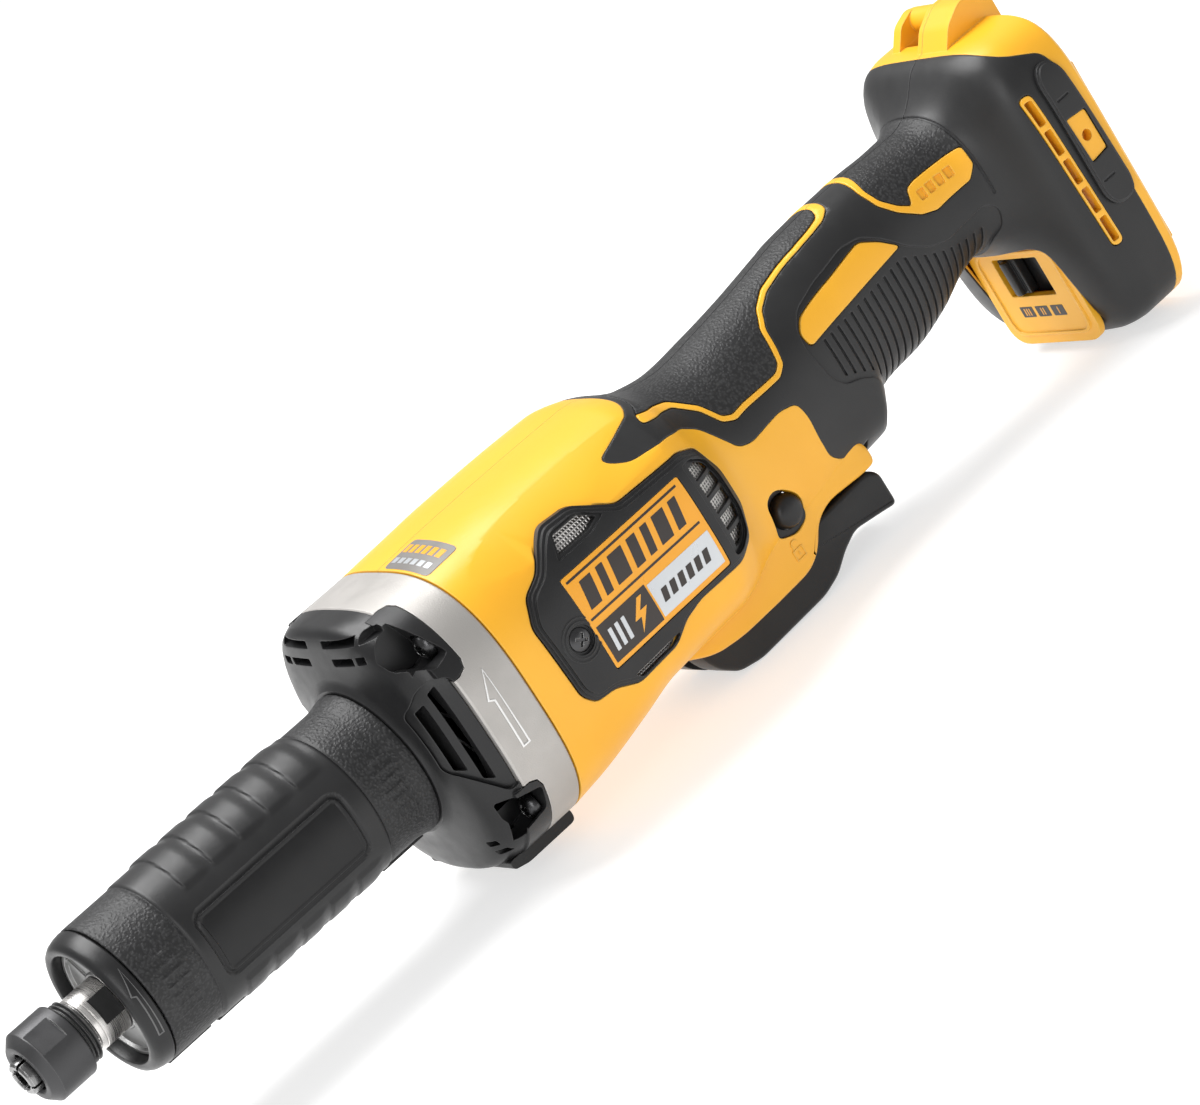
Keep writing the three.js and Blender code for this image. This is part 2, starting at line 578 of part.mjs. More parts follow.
const CONTACT_PLACES = [-13, -4.5, 4.5, 13];
const terminalSlots = union(CONTACT_PLACES.map((y) => block(355, 373, y - 0.8, y + 0.8, 6, 24)));
const terminal = block(358, 370.5, -17.6, 17.6, 3.4, 36.6).add(block(369, 377, -17, 17, 24, 36))
  .subtract(terminalSlots);
add('terminal_block', terminal, COLOURS.nylon, 0.5);
CONTACT_PLACES.forEach((y, i) => {
  add(`battery_contact_${i + 1}`, block(358.4, 377.6, y - 0.45, y + 0.45, 8, 22), COLOURS.copper, 0.3, 1);
});
add('control_module', block(300, 330, -7.5, 7.5, 4, 25), COLOURS.board, 0.6);

// ---------------------------------------------------------------- foot bumpers and cover screws

for (const [side, sign] of SIDES) {
  const [y0, y1] = sideOf(sign, FOOT_HALF + 0.3, FOOT_HALF + 1.8);
  const pad = prism(roundedRectangle(358, 369.4, -8, 39, 4), y0, y1)
    .subtract(prism(roundedRectangle(360.2, 367.4, 7, 22, 1.5, 2), y0 - 1, y1 + 1));
  add(`foot_bumper_${side}`, pad, COLOURS.rubber, 0.85);
  const head = crossRod(4.2, ...sideOf(sign, 40.7, 42), COVER_SCREW.x, COVER_SCREW.z, 16);
  const shank = crossRod(2.1, ...sideOf(sign, 35, 41), COVER_SCREW.x, COVER_SCREW.z, 12);
  add(`cover_screw_${side}`, head.add(shank), COLOURS.blackSteel, 0.35, 0.9);
}

export default tool;
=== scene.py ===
import math

import bmesh
import bpy
from mathutils import Matrix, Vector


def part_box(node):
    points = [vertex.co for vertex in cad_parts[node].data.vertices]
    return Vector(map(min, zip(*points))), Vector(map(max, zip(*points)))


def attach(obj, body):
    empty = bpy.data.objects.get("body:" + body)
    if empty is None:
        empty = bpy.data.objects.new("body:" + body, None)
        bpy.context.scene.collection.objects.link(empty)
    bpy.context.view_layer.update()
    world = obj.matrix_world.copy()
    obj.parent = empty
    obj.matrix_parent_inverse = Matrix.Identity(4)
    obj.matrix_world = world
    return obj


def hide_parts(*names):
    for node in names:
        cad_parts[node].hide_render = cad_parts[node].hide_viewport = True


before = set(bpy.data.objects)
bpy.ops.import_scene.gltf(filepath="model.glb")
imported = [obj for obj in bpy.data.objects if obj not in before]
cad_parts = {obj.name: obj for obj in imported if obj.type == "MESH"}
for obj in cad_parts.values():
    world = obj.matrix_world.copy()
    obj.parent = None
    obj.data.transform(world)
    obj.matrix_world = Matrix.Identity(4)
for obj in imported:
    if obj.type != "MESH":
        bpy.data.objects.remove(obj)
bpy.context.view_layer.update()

# ---- camera
# A long lens from the front left and a little above, rolled so that the tool stands steeply
# across the picture.
camera_data = bpy.data.cameras.new("camera")
camera_data.lens = 150
camera_data.sensor_width = 36
camera = bpy.data.objects.new("camera", camera_data)
bpy.context.scene.collection.objects.link(camera)
azimuth, elevation, roll = (math.radians(angle) for angle in (-26.784, 18.558, -32.583))
camera.matrix_world = (
    Matrix.Translation((-0.56727, -1.14926, 0.48266))
    @ Matrix.Rotation(azimuth, 4, "Z")
    @ Matrix.Rotation(math.pi / 2 - elevation, 4, "X")
    @ Matrix.Rotation(roll, 4, "Z")
)
bpy.context.scene.camera = camera

# ---- floor and studio light
# A pale matt floor, a broad soft lamp overhead and a little behind, a weaker one from the
# left front, and an even pale surround.
floor_material = bpy.data.materials.new("floor_paint")
floor_material.use_nodes = True
floor_surface = floor_material.node_tree.nodes["Principled BSDF"]
floor_surface.inputs["Base Color"].default_value = (0.52, 0.52, 0.518, 1)
floor_surface.inputs["Roughness"].default_value = 0.8
floor_surface.inputs["Emission Color"].default_value = (1, 1, 1, 1)
floor_surface.inputs["Emission Strength"].default_value = 0.62
bm = bmesh.new()
bmesh.ops.create_grid(bm, x_segments=8, y_segments=8, size=8)
floor_mesh = bpy.data.meshes.new("floor")
bm.to_mesh(floor_mesh)
bm.free()
floor_mesh.materials.append(floor_material)
floor = bpy.data.objects.new("floor", floor_mesh)
bpy.context.scene.collection.objects.link(floor)

world = bpy.data.worlds.new("surround")
world.use_nodes = True
world.node_tree.nodes["Background"].inputs["Color"].default_value = (1, 1, 1, 1)
world.node_tree.nodes["Background"].inputs["Strength"].default_value = 0.48
bpy.context.scene.world = world
bpy.context.scene.view_settings.view_transform = "Standard"


def softbox(name, place, aim, size, watts):
    lamp = bpy.data.lights.new(name, "AREA")
    lamp.shape = "RECTANGLE"
    lamp.size, lamp.size_y = size
    lamp.energy = watts
    holder = bpy.data.objects.new(name, lamp)
    bpy.context.scene.collection.objects.link(holder)
    back = Matrix.Translation(place).translation - Matrix.Translation(aim).translation
    holder.location = place
    holder.rotation_mode = "QUATERNION"
    holder.rotation_quaternion = back.to_track_quat("Z", "Y")


softbox("top_light", (-0.10, 0.35, 1.15), (0, 0, 0.05), (1.1, 0.7), 24)
softbox("left_light", (-1.0, -0.9, 0.55), (0, 0, 0.05), (0.5, 0.9), 6)

# ---- collet nut
# A black-oxide steel nut with a chamfered nose and two spanner flats. Turned from bar,
# bored for the collet, then milled. Drawing sizes are millimetres from the front edge of
# the nose grip and from the spindle's axis.
MILLIMETRE = 0.001
axis_height = (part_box("collet_nut")[0].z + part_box("collet_nut")[1].z) / 2
grip_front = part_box("nose_cap")[1].x
DRAWING = Matrix.Translation((grip_front, 0, axis_height)) @ Matrix.Scale(MILLIMETRE, 4)


def lathe(profile, steps=96):
    """A solid turned about the spindle's axis from an outline of (radius, x) points."""
    bm = bmesh.new()
    points = [bm.verts.new((x, 0, radius)) for radius, x in profile]
    edges = [bm.edges.new(pair) for pair in zip(points, points[1:])]
    if profile[0][0] > 0:
        edges.append(bm.edges.new((points[-1], points[0])))
    bmesh.ops.spin(bm, geom=points + edges, cent=(0, 0, 0), axis=(1, 0, 0), dvec=(0, 0, 0),
                   angle=2 * math.pi, steps=steps, use_merge=True)
    bmesh.ops.remove_doubles(bm, verts=bm.verts, dist=0.001)
    bmesh.ops.recalc_face_normals(bm, faces=bm.faces)
    return bm


def soften(bm, width, angle=35, segments=2, clamp=True):
    """Rounds the edges that turn by more than the angle."""
    sharp = [edge for edge in bm.edges
             if edge.is_manifold and edge.calc_face_angle() > math.radians(angle)]
    bmesh.ops.bevel(bm, geom=sharp, offset=width, offset_type="OFFSET", affect="EDGES",
                    segments=segments, profile=0.5, clamp_overlap=clamp, material=-1)
    return bm


def block(x0, x1, y0, y1, z0, z1, edge=0):
    bm = bmesh.new()
    bmesh.ops.create_cube(bm, size=1)
    bmesh.ops.scale(bm, verts=bm.verts, vec=(abs(x1 - x0), abs(y1 - y0), abs(z1 - z0)))
    bmesh.ops.translate(bm, verts=bm.verts, vec=((x0 + x1) / 2, (y0 + y1) / 2, (z0 + z1) / 2))
    if edge:
        soften(bm, edge)
    return bm


def turn_about_spindle(bm, angle):
    bmesh.ops.rotate(bm, verts=bm.verts, cent=(0, 0, 0), matrix=Matrix.Rotation(angle, 3, "X"))
    return bm


def joined(shapes):
    """Several separate solids as one mesh."""
    whole = bmesh.new()
    for shape in shapes:
        mesh = bpy.data.meshes.new("part_of_whole")
        shape.to_mesh(mesh)
        shape.free()
        whole.from_mesh(mesh)
        bpy.data.meshes.remove(mesh)
    return whole


def as_work(bm):
    mesh = bpy.data.meshes.new("work")
    bm.to_mesh(mesh)
    bm.free()
    work = bpy.data.objects.new("work", mesh)
    bpy.context.scene.collection.objects.link(work)
    return work


def machined(stock, *steps):
    """The stock after each (operation, tool) step: DIFFERENCE, UNION or INTERSECT."""
    work = [as_work(stock)]
    for operation, tool in steps:
        work.append(as_work(tool))
        step = work[0].modifiers.new("step", "BOOLEAN")
        step.solver = "MANIFOLD"
        step.operation = operation
        step.object = work[-1]
    result = bmesh.new()
    result.from_object(work[0], bpy.context.evaluated_depsgraph_get())
    for used in work:
        mesh = used.data
        bpy.data.objects.remove(used)
        bpy.data.meshes.remove(mesh)
    return result


def cut(stock, *tools):
    return machined(stock, *[("DIFFERENCE", tool) for tool in tools])


def add_piece(name, bm, finishes, body, stands_for=(), crease=32):
    """Puts a finished shape in its place in the frame, riding on its body."""
    bmesh.ops.transform(bm, matrix=DRAWING, verts=bm.verts)
    for face in bm.faces:
        face.smooth = True
    mesh = bpy.data.meshes.new(name)
    bm.to_mesh(mesh)
    bm.free()
    mesh.set_sharp_from_angle(angle=math.radians(crease))
    for finish in finishes if isinstance(finishes, list) else [finishes]:
        mesh.materials.append(finish)
    piece = bpy.data.objects.new(name, mesh)
    bpy.context.scene.collection.objects.link(piece)
    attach(piece, body)
    if stands_for:
        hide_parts(*stands_for)
    return piece


def new_finish(name, colour, roughness, metallic=0.0):
    """A material with its nodes, its surface and a source of object coordinates."""
    finish = bpy.data.materials.new(name)
    finish.use_nodes = True
    nodes = finish.node_tree.nodes
    surface = nodes["Principled BSDF"]
    surface.inputs["Base Color"].default_value = (*colour, 1)
    surface.inputs["Roughness"].default_value = roughness
    surface.inputs["Metallic"].default_value = metallic
    place = nodes.new("ShaderNodeTexCoord").outputs["Object"]
    return finish, nodes, finish.node_tree.links, surface, place


def speckle(nodes, links, place, scale, low=0.0, high=1.0, detail=4):
    """Cloudy noise, spread between two values."""
    noise = nodes.new("ShaderNodeTexNoise")
    noise.inputs["Scale"].default_value = scale
    noise.inputs["Detail"].default_value = detail
    links.new(place, noise.inputs["Vector"])
    spread = nodes.new("ShaderNodeMapRange")
    spread.inputs["From Min"].default_value = 0.3
    spread.inputs["From Max"].default_value = 0.7
    spread.inputs["To Min"].default_value = low
    spread.inputs["To Max"].default_value = high
    links.new(noise.outputs["Fac"], spread.inputs["Value"])
    return spread.outputs["Result"]


def blend_colours(nodes, links, share, first, second):
    mix = nodes.new("ShaderNodeMix")
    mix.data_type = "RGBA"
    links.new(share, mix.inputs["Factor"])
    for socket, colour in ((mix.inputs[6], first), (mix.inputs[7], second)):
        if isinstance(colour, tuple):
            socket.default_value = (*colour, 1)
        else:
            links.new(colour, socket)
    return mix.outputs[2]


def edge_share(nodes, links, radius):
    """1 on a worn edge and 0 on a flat, with the rounded normal that shows the edge."""
    round_edge = nodes.new("ShaderNodeBevel")
    round_edge.samples = 4
    round_edge.inputs["Radius"].default_value = radius
    flat = nodes.new("ShaderNodeNewGeometry")
    agree = nodes.new("ShaderNodeVectorMath")
    agree.operation = "DOT_PRODUCT"
    links.new(round_edge.outputs["Normal"], agree.inputs[0])
    links.new(flat.outputs["Normal"], agree.inputs[1])
    worn = nodes.new("ShaderNodeMapRange")
    worn.inputs["From Min"].default_value = 0.985
    worn.inputs["From Max"].default_value = 0.80
    links.new(agree.outputs["Value"], worn.inputs["Value"])
    return worn.outputs["Result"], round_edge.outputs["Normal"]


def raise_grain(nodes, links, surface, height, depth, strength, normal):
    bump = nodes.new("ShaderNodeBump")
    bump.inputs["Strength"].default_value = strength
    bump.inputs["Distance"].default_value = depth
    links.new(height, bump.inputs["Height"])
    links.new(normal, bump.inputs["Normal"])
    links.new(bump.outputs["Normal"], surface.inputs["Normal"])


def common_finish(name, colour, shade, worn, roughness, metallic=0.0, cloud=60, grain=2200,
                  depth=0.00004, strength=0.3, edge=0.0003, shine=0.5):
    """Colour that drifts between two tones, paler worn edges, and a fine raised grain."""
    finish, nodes, links, surface, place = new_finish(name, colour, roughness, metallic)
    surface.inputs["Specular IOR Level"].default_value = shine
    tone = blend_colours(nodes, links, speckle(nodes, links, place, cloud), colour, shade)
    edges, rounded = edge_share(nodes, links, edge)
    links.new(blend_colours(nodes, links, edges, tone, worn), surface.inputs["Base Color"])
    links.new(speckle(nodes, links, place, cloud * 4, roughness * 0.88, roughness * 1.12),
              surface.inputs["Roughness"])
    raise_grain(nodes, links, surface, speckle(nodes, links, place, grain, detail=2), depth,
                strength, rounded)
    return finish


black_steel = common_finish("black_oxide_steel", (0.050, 0.050, 0.052), (0.070, 0.070, 0.072),
                            (0.34, 0.34, 0.34), 0.44, metallic=0.75, grain=3000, edge=0.0004)
NUT_FACE, NUT_REAR, NUT_RADIUS, THREAD_BORE, TAPER_MOUTH = -31, -17, 11, 9.8, 5.7
NUT_FLAT_REACH, NUT_FLAT_TILT = 10.3, 0.8
nut = lathe([(TAPER_MOUTH, NUT_FACE + 0.8), (6.6, NUT_FACE), (8.4, NUT_FACE), (NUT_RADIUS, -28.4),
             (NUT_RADIUS, NUT_REAR - 0.5), (10.5, NUT_REAR), (THREAD_BORE, NUT_REAR),
             (THREAD_BORE, -26.8), (TAPER_MOUTH, -27)])
soften(nut, 0.25)
nut_flats = [turn_about_spindle(block(-28.2, -20.0, side * NUT_FLAT_REACH, side * 16, -15, 15),
                                -NUT_FLAT_TILT) for side in (1, -1)]
nut = cut(nut, *nut_flats)
add_piece("nut_body", nut, black_steel, "nut", ["collet_nut"], crease=15)

# ---- collet
# A slotted spring collet of dark ground steel. Its taper sits in the nut's nose and its four
# jaws close on the burr's shank.
collet_steel = common_finish("ground_collet_steel", (0.30, 0.30, 0.30), (0.20, 0.20, 0.20),
                             (0.6, 0.6, 0.6), 0.25, metallic=1.0)
COLLET_TIP, COLLET_REAR, SHANK_BORE = -33.5, -14.5, 3.0
SLOT_HALF, SLOT_TURN = 0.5, 0.5
sleeve = lathe([(SHANK_BORE, COLLET_TIP + 0.4), (3.4, COLLET_TIP), (4.4, COLLET_TIP), (5.0, -32.9),
                (5.2, -27), (5.9, -26.3), (5.9, COLLET_REAR), (SHANK_BORE, COLLET_REAR)], 64)
jaw_slots = [turn_about_spindle(block(-40, -20, -SLOT_HALF, SLOT_HALF, -8, 8), SLOT_TURN + turn)
             for turn in (0, math.pi / 2)]
add_piece("collet_jaws", cut(sleeve, *jaw_slots), collet_steel, "spindle_set", ["collet"])

# ---- spindle
# A ground steel spindle: a threaded nose under the nut and a thick shoulder with two milled,
# blackened flats for the spanner. The thread is turned as a run of sharp ridges, and a narrow
# groove runs round the shoulder in front of the flats.
steel, nodes, links, surface, place = new_finish("ground_steel", (0.72, 0.70, 0.68), 0.30, 1.0)
stretch = nodes.new("ShaderNodeMapping")
stretch.inputs["Scale"].default_value = (9000, 60, 60)
links.new(place, stretch.inputs["Vector"])
lines = speckle(nodes, links, stretch.outputs["Vector"], 1, 0.20, 0.36, 1)
links.new(lines, surface.inputs["Roughness"])
edges, rounded = edge_share(nodes, links, 0.0002)
raise_grain(nodes, links, surface, lines, 0.00001, 0.25, rounded)

THREAD_START, THREAD_PITCH, THREAD_TURNS = -24.4, 1.25, 9
THREAD_ROOT, THREAD_CREST = 8.5, 9.4
ridges = []
for turn in range(THREAD_TURNS):
    start = THREAD_START + turn * THREAD_PITCH
    ridges += [(THREAD_ROOT, start), (THREAD_CREST, start + 0.45), (THREAD_CREST, start + 0.6),
               (THREAD_ROOT, start + 1.05)]
SHAFT_RADIUS, SHAFT_END, DRAWBAR_BORE = 6, 106, 3.4
SHOULDER_RADIUS, SHOULDER_FRONT, SHOULDER_REAR = 8.4, -12.3, -2.8
FLAT_FRONT, FLAT_REACH, FLAT_TURN = -9.2, 7.4, -0.36
shaft = lathe([(DRAWBAR_BORE, -14), (6.1, -14), (6.1, -25), (THREAD_ROOT, -25), *ridges, (8.0, -12.9),
               (8.0, -12.7), (8.2, -12.5), (SHOULDER_RADIUS, SHOULDER_FRONT), (SHOULDER_RADIUS, -10.9),
               (8.25, -10.8), (8.25, -10.6), (SHOULDER_RADIUS, -10.5), (SHOULDER_RADIUS, SHOULDER_REAR),
               (SHAFT_RADIUS, SHOULDER_REAR), (SHAFT_RADIUS, SHAFT_END), (DRAWBAR_BORE, SHAFT_END)])
core = lathe([(0, 12), (4, 12), (4, SHAFT_END - 0.1), (0, SHAFT_END - 0.1)], 48)
spanner_flats = [turn_about_spindle(block(FLAT_FRONT, -1.2, side * FLAT_REACH, side * 11, -8, 8), FLAT_TURN)
                 for side in (1, -1)]
shaft = cut(machined(shaft, ("UNION", core)), *spanner_flats)
for face in shaft.faces:
    x, y, z = face.calc_center_median()
    reach = abs(y * math.cos(FLAT_TURN) + z * math.sin(FLAT_TURN))
    milled = FLAT_FRONT + 0.1 < x < SHOULDER_REAR - 0.1 and abs(reach - FLAT_REACH) < 0.05
    face.material_index = 1 if x < SHOULDER_FRONT - 0.5 or milled else 0
milled_black = common_finish("milled_black", (0.020, 0.020, 0.021), (0.032, 0.032, 0.032),
                             (0.2, 0.2, 0.2), 0.45, metallic=0.4, grain=3000)
add_piece("spindle_nose", shaft, [steel, milled_black], "spindle_set", ["spindle"],
          crease=15)

# ---- nose cap
# A black nylon ring screwed on the barrel's front. Its rim stands proud of the bearing, and
# an outlined arrow on its flank shows which way the spindle turns.
black_nylon = common_finish("black_nylon", (0.009, 0.009, 0.0095), (0.014, 0.014, 0.0145),
                            (0.05, 0.05, 0.051), 0.34, grain=2600, strength=0.35, shine=0.34)


def prism(outline, y0, y1, corner=0):
    """A side outline of (x, z) points drawn across the tool, its corners eased by curves."""
    bm = bmesh.new()
    bm.faces.new([bm.verts.new((x, y0, z)) for x, z in eased(outline, corner)])
    drawn = bmesh.ops.extrude_face_region(bm, geom=list(bm.faces))
    moved = [item for item in drawn["geom"] if isinstance(item, bmesh.types.BMVert)]
    bmesh.ops.translate(bm, verts=moved, vec=(0, y1 - y0, 0))
    bmesh.ops.recalc_face_normals(bm, faces=bm.faces)
    return bm


def eased(outline, corner, steps=6):
    """The outline with each corner replaced by a short curve that starts that far from it."""
    if not corner:
        return outline
    curve = []
    for index, (x, z) in enumerate(outline):
        ends = []
        for other in (outline[index - 1], outline[(index + 1) % len(outline)]):
            length = math.dist((x, z), other)
            share = min(corner, length * 0.47) / length
            ends.append((x + (other[0] - x) * share, z + (other[1] - z) * share))
        for step in range(steps + 1):
            t = step / steps
            before, at, after = (1 - t) ** 2, 2 * t * (1 - t), t ** 2
            curve.append((before * ends[0][0] + at * x + after * ends[1][0],
                          before * ends[0][1] + at * z + after * ends[1][1]))
    return curve


def shifted(outline, distance):
    """The outline moved outwards, corner by corner."""
    area = sum(a[0] * b[1] - b[0] * a[1] for a, b in zip(outline, outline[1:] + outline[:1]))
    side = distance * math.copysign(1, area)
    moved = []
    for index, (x, z) in enumerate(outline):
        (ax, az), (bx, bz) = outline[index - 1], outline[(index + 1) % len(outline)]
        first, second = math.dist((ax, az), (x, z)), math.dist((x, z), (bx, bz))
        n1 = ((z - az) / first, (ax - x) / first)
        n2 = ((bz - z) / second, (x - bx) / second)
        spread = max(0.35, 1 + n1[0] * n2[0] + n1[1] * n2[1])
        moved.append((x + side * (n1[0] + n2[0]) / spread, z + side * (n1[1] + n2[1]) / spread))
    return moved


def outlined(outline, width, y0, y1, corner=0):
    """A narrow frame that follows an outline, drawn across the tool."""
    return cut(prism(outline, y0, y1, corner), prism(shifted(outline, -width), y0 - 1, y1 + 1, corner))


CAP_BORE, MARK_WIDTH = 17.6, 0.35
cap = lathe([(CAP_BORE, 0), (CAP_BORE, -5.4), (17.9, -5.9), (18.5, -6.1), (19.2, -6.1), (20.2, -5.6),
             (21.0, -4.4), (21.5, -2.6), (21.75, -0.6), (21.4, -0.1), (21.0, 0)], 128)
arrow = [(-1.7, 12), (-4.2, 4.6), (-3.1, 4.0), (-3.5, -8.4), (-1.7, -8.4)]
mark_skin = lathe([(15, 0), (15, -5), (20.85, -5), (21.45, -3.2), (21.95, -0.4), (21.95, 0)], 96)
mark = machined(outlined(arrow, MARK_WIDTH, -25, -10), ("INTERSECT", mark_skin))
add_piece("nose_ring", cap, black_nylon, "casing", ["nose_cap"])
moulded_mark = common_finish("moulded_mark", (0.085, 0.085, 0.086), (0.11, 0.11, 0.11),
                             (0.2, 0.2, 0.2), 0.4)
add_piece("turning_arrow", mark, moulded_mark, "casing")

# ---- bearing retainer
# A blasted steel plate with a raised collar and four ribs, which holds the front bearing in
# the barrel behind the rim.
retainer_steel = common_finish("retainer_steel", (0.34, 0.34, 0.335), (0.24, 0.24, 0.24),
                               (0.6, 0.6, 0.6), 0.42, metallic=0.85, grain=2400)
PLATE_BORE, COLLAR_EDGE, PLATE_EDGE, PLATE_FACE = 6.7, 9.2, 17.2, -1.6
RIB_COUNT, RIB_HALF, FIRST_RIB = 4, 0.9, 0.9
plate = lathe([(PLATE_BORE, -0.2), (PLATE_BORE, -2.2), (7.3, -2.4), (8.8, -2.4), (COLLAR_EDGE, -2.0),
               (COLLAR_EDGE, PLATE_FACE), (15.8, PLATE_FACE), (16.2, -2.6), (PLATE_EDGE, -2.6),
               (PLATE_EDGE, -0.2)])
ribs = [turn_about_spindle(block(-2.2, -1.2, 9.0, 16.2, -RIB_HALF, RIB_HALF),
                           FIRST_RIB + rib * 2 * math.pi / RIB_COUNT) for rib in range(RIB_COUNT)]
add_piece("retainer_plate", machined(plate, *[("UNION", rib) for rib in ribs]), retainer_steel, "casing",
          ["bearing_retainer"])

# ---- nose grip
# A soft black rubber sleeve over the barrel. Pebbled bands at both ends, five raised finger
# pads over the top and under the bottom, and a sunk panel with a plain frame on each side.
soft_grip = common_finish("soft_grip", (0.013, 0.013, 0.0135), (0.018, 0.018, 0.0185),
                          (0.06, 0.06, 0.061), 0.40, cloud=45, grain=3200, depth=0.00003, strength=0.35,
                          edge=0.0004, shine=0.34)


def pebbled_finish_with_painted_shade(name, colour, shade, roughness):
    """Moulded leather-like pebbles, with painted shade in the valleys between them and painted highlight on
    their tops.
    """
    finish, nodes, links, surface, place = new_finish(name, colour, roughness)
    surface.inputs["Specular IOR Level"].default_value = 0.4
    cells = nodes.new("ShaderNodeTexVoronoi")
    cells.feature = "SMOOTH_F1"
    cells.inputs["Scale"].default_value = 1250
    warp = nodes.new("ShaderNodeVectorMath")
    warp.operation = "MULTIPLY_ADD"
    wobble = nodes.new("ShaderNodeTexNoise")
    wobble.inputs["Scale"].default_value = 700
    links.new(place, wobble.inputs["Vector"])
    links.new(wobble.outputs["Color"], warp.inputs[0])
    warp.inputs[1].default_value = (0.0011, 0.0011, 0.0011)
    links.new(place, warp.inputs[2])
    links.new(warp.outputs["Vector"], cells.inputs["Vector"])
    height = nodes.new("ShaderNodeMapRange")
    height.inputs["From Min"].default_value = 0.55
    height.inputs["From Max"].default_value = 0.1
    links.new(cells.outputs["Distance"], height.inputs["Value"])
    # Painted light: the pebble tops take the paler tone as painted highlight, and the valleys take the darker
    # one as painted shade.
    tone = blend_colours(nodes, links, height.outputs["Result"], colour, shade)
    links.new(tone, surface.inputs["Base Color"])
    edges, rounded = edge_share(nodes, links, 0.0004)
    raise_grain(nodes, links, surface, height.outputs["Result"], 0.0002, 0.55, rounded)
    return finish


pebbled_grip = pebbled_finish_with_painted_shade("pebbled_grip", (0.010, 0.010, 0.0105), (0.030, 0.030, 0.031), 0.50)

GRIP_LENGTH = 96.3
PAD_PITCH, PAD_START, PAD_END = 10.2, 25.6, 76.6


def ease(value, start, end):
    t = min(1.0, max(0.0, (value - start) / (end - start)))
    return t * t * (3 - 2 * t)


def grip_radius(x, angle):
    """The grip's radius along the tool, the angle measured from its left side upwards."""
    ends = 21.8 - 0.6 * (1 - ease(x, 0, 0.8)) + 0.9 * ease(x, 88, 96) ** 2
    middle = ease(x, 17.2, 18.0) - ease(x, 78.6, 79.4)
    radius = ends + 0.35 * middle
    groove = max(0.0, 1 - abs(x - 17.0) / 0.5) + max(0.0, 1 - abs(x - 79.6) / 0.5)
    radius -= 0.45 * groove
    sideways = min(abs(angle), math.pi - abs(angle))
    beyond = ease(sideways, 0.72, 0.80) if angle > 0 else ease(sideways, 0.62, 0.70)
    if PAD_START < x < PAD_END:
        along = (x - PAD_START - 1.6 * (sideways - 0.8)) % PAD_PITCH / PAD_PITCH
        pad = ease(along, 0.0, 0.07) * (1 - ease(along, 0.55, 1.0))
        radius += 0.62 * pad * beyond
    panel_z = radius * math.sin(sideways)
    if angle < 2.9 and abs(panel_z) < 8.5 and (5 < x < 12 or 84 < x < 91):
        radius += 0.3 * max(0.0, 1 - abs((panel_z + 1.4) % 2.8 - 1.4) / 0.5)
    rim = panel_rim(x, panel_z)
    if rim > 0:
        radius -= 0.75 * ease(rim, 0.0, 0.6)
        radius += 0.45 * (ease(rim, 1.2, 1.6) - ease(rim, 2.0, 2.4))
    return radius


PANEL_START, PANEL_END, PANEL_HALF, PANEL_CORNER = 20.5, 74, 10.6, 4.0


def panel_rim(x, z):
    """How far a point lies inside the panel's round-cornered edge, negative outside."""
    dx = abs(x - (PANEL_START + PANEL_END) / 2) - (PANEL_END - PANEL_START) / 2 + PANEL_CORNER
    dz = abs(z) - PANEL_HALF + PANEL_CORNER
    beyond = math.hypot(max(dx, 0), max(dz, 0))
    return PANEL_CORNER - beyond - min(max(dx, dz), 0)


GRIP_FRONT, GRIP_RINGS, GRIP_SIDES = 0.4, 200, 288
grip = bmesh.new()
bmesh.ops.create_circle(grip, radius=1, segments=GRIP_SIDES)
bmesh.ops.rotate(grip, verts=grip.verts, cent=(0, 0, 0), matrix=Matrix.Rotation(math.pi / 2, 3, "Y"))
front = list(grip.edges)
for ring in range(GRIP_RINGS):
    drawn = bmesh.ops.extrude_edge_only(grip, edges=front)
    moved = [item for item in drawn["geom"] if isinstance(item, bmesh.types.BMVert)]
    bmesh.ops.translate(grip, verts=moved, vec=(1, 0, 0))
    front = [item for item in drawn["geom"] if isinstance(item, bmesh.types.BMEdge)
             and all(abs(vert.co.x - ring - 1) < 0.01 for vert in item.verts)]
for vert in grip.verts:
    x = GRIP_FRONT + (GRIP_LENGTH - GRIP_FRONT) * vert.co.x / GRIP_RINGS
    angle = math.atan2(vert.co.z, -vert.co.y)
    radius = grip_radius(x, angle)
    vert.co = (x, vert.co.y * radius, vert.co.z * radius)
bmesh.ops.holes_fill(grip, edges=[edge for edge in grip.edges if edge.is_boundary], sides=0)
bmesh.ops.recalc_face_normals(grip, faces=grip.faces)
BARREL_FIT = 18.6
keels = [block(1, 16, -1.6, 1.6, -23.2, -20), block(80, 95, -1.6, 1.6, -23.6, -20),
         block(18.5, 78, -2.0, 2.0, -23.4, -20)]
grip = cut(grip, lathe([(0, -5), (BARREL_FIT, -5), (BARREL_FIT, 100), (0, 100)]))
grip = machined(grip, *[("UNION", keel) for keel in keels])
for face in grip.faces:
    x, y, z = face.calc_center_median()
    sunk = abs(z) < 12 and panel_rim(x, z) > 0.5
    face.material_index = 1 if x < 17 or x > 79.8 else 2 if sunk else 0
panel_black = common_finish("panel_black", (0.006, 0.006, 0.0065), (0.010, 0.010, 0.0105),
                            (0.05, 0.05, 0.05), 0.40, grain=3200, depth=0.00003, shine=0.3)
add_piece("nose_grip", grip, [soft_grip, pebbled_grip, panel_black], "casing", ["front_grip"])


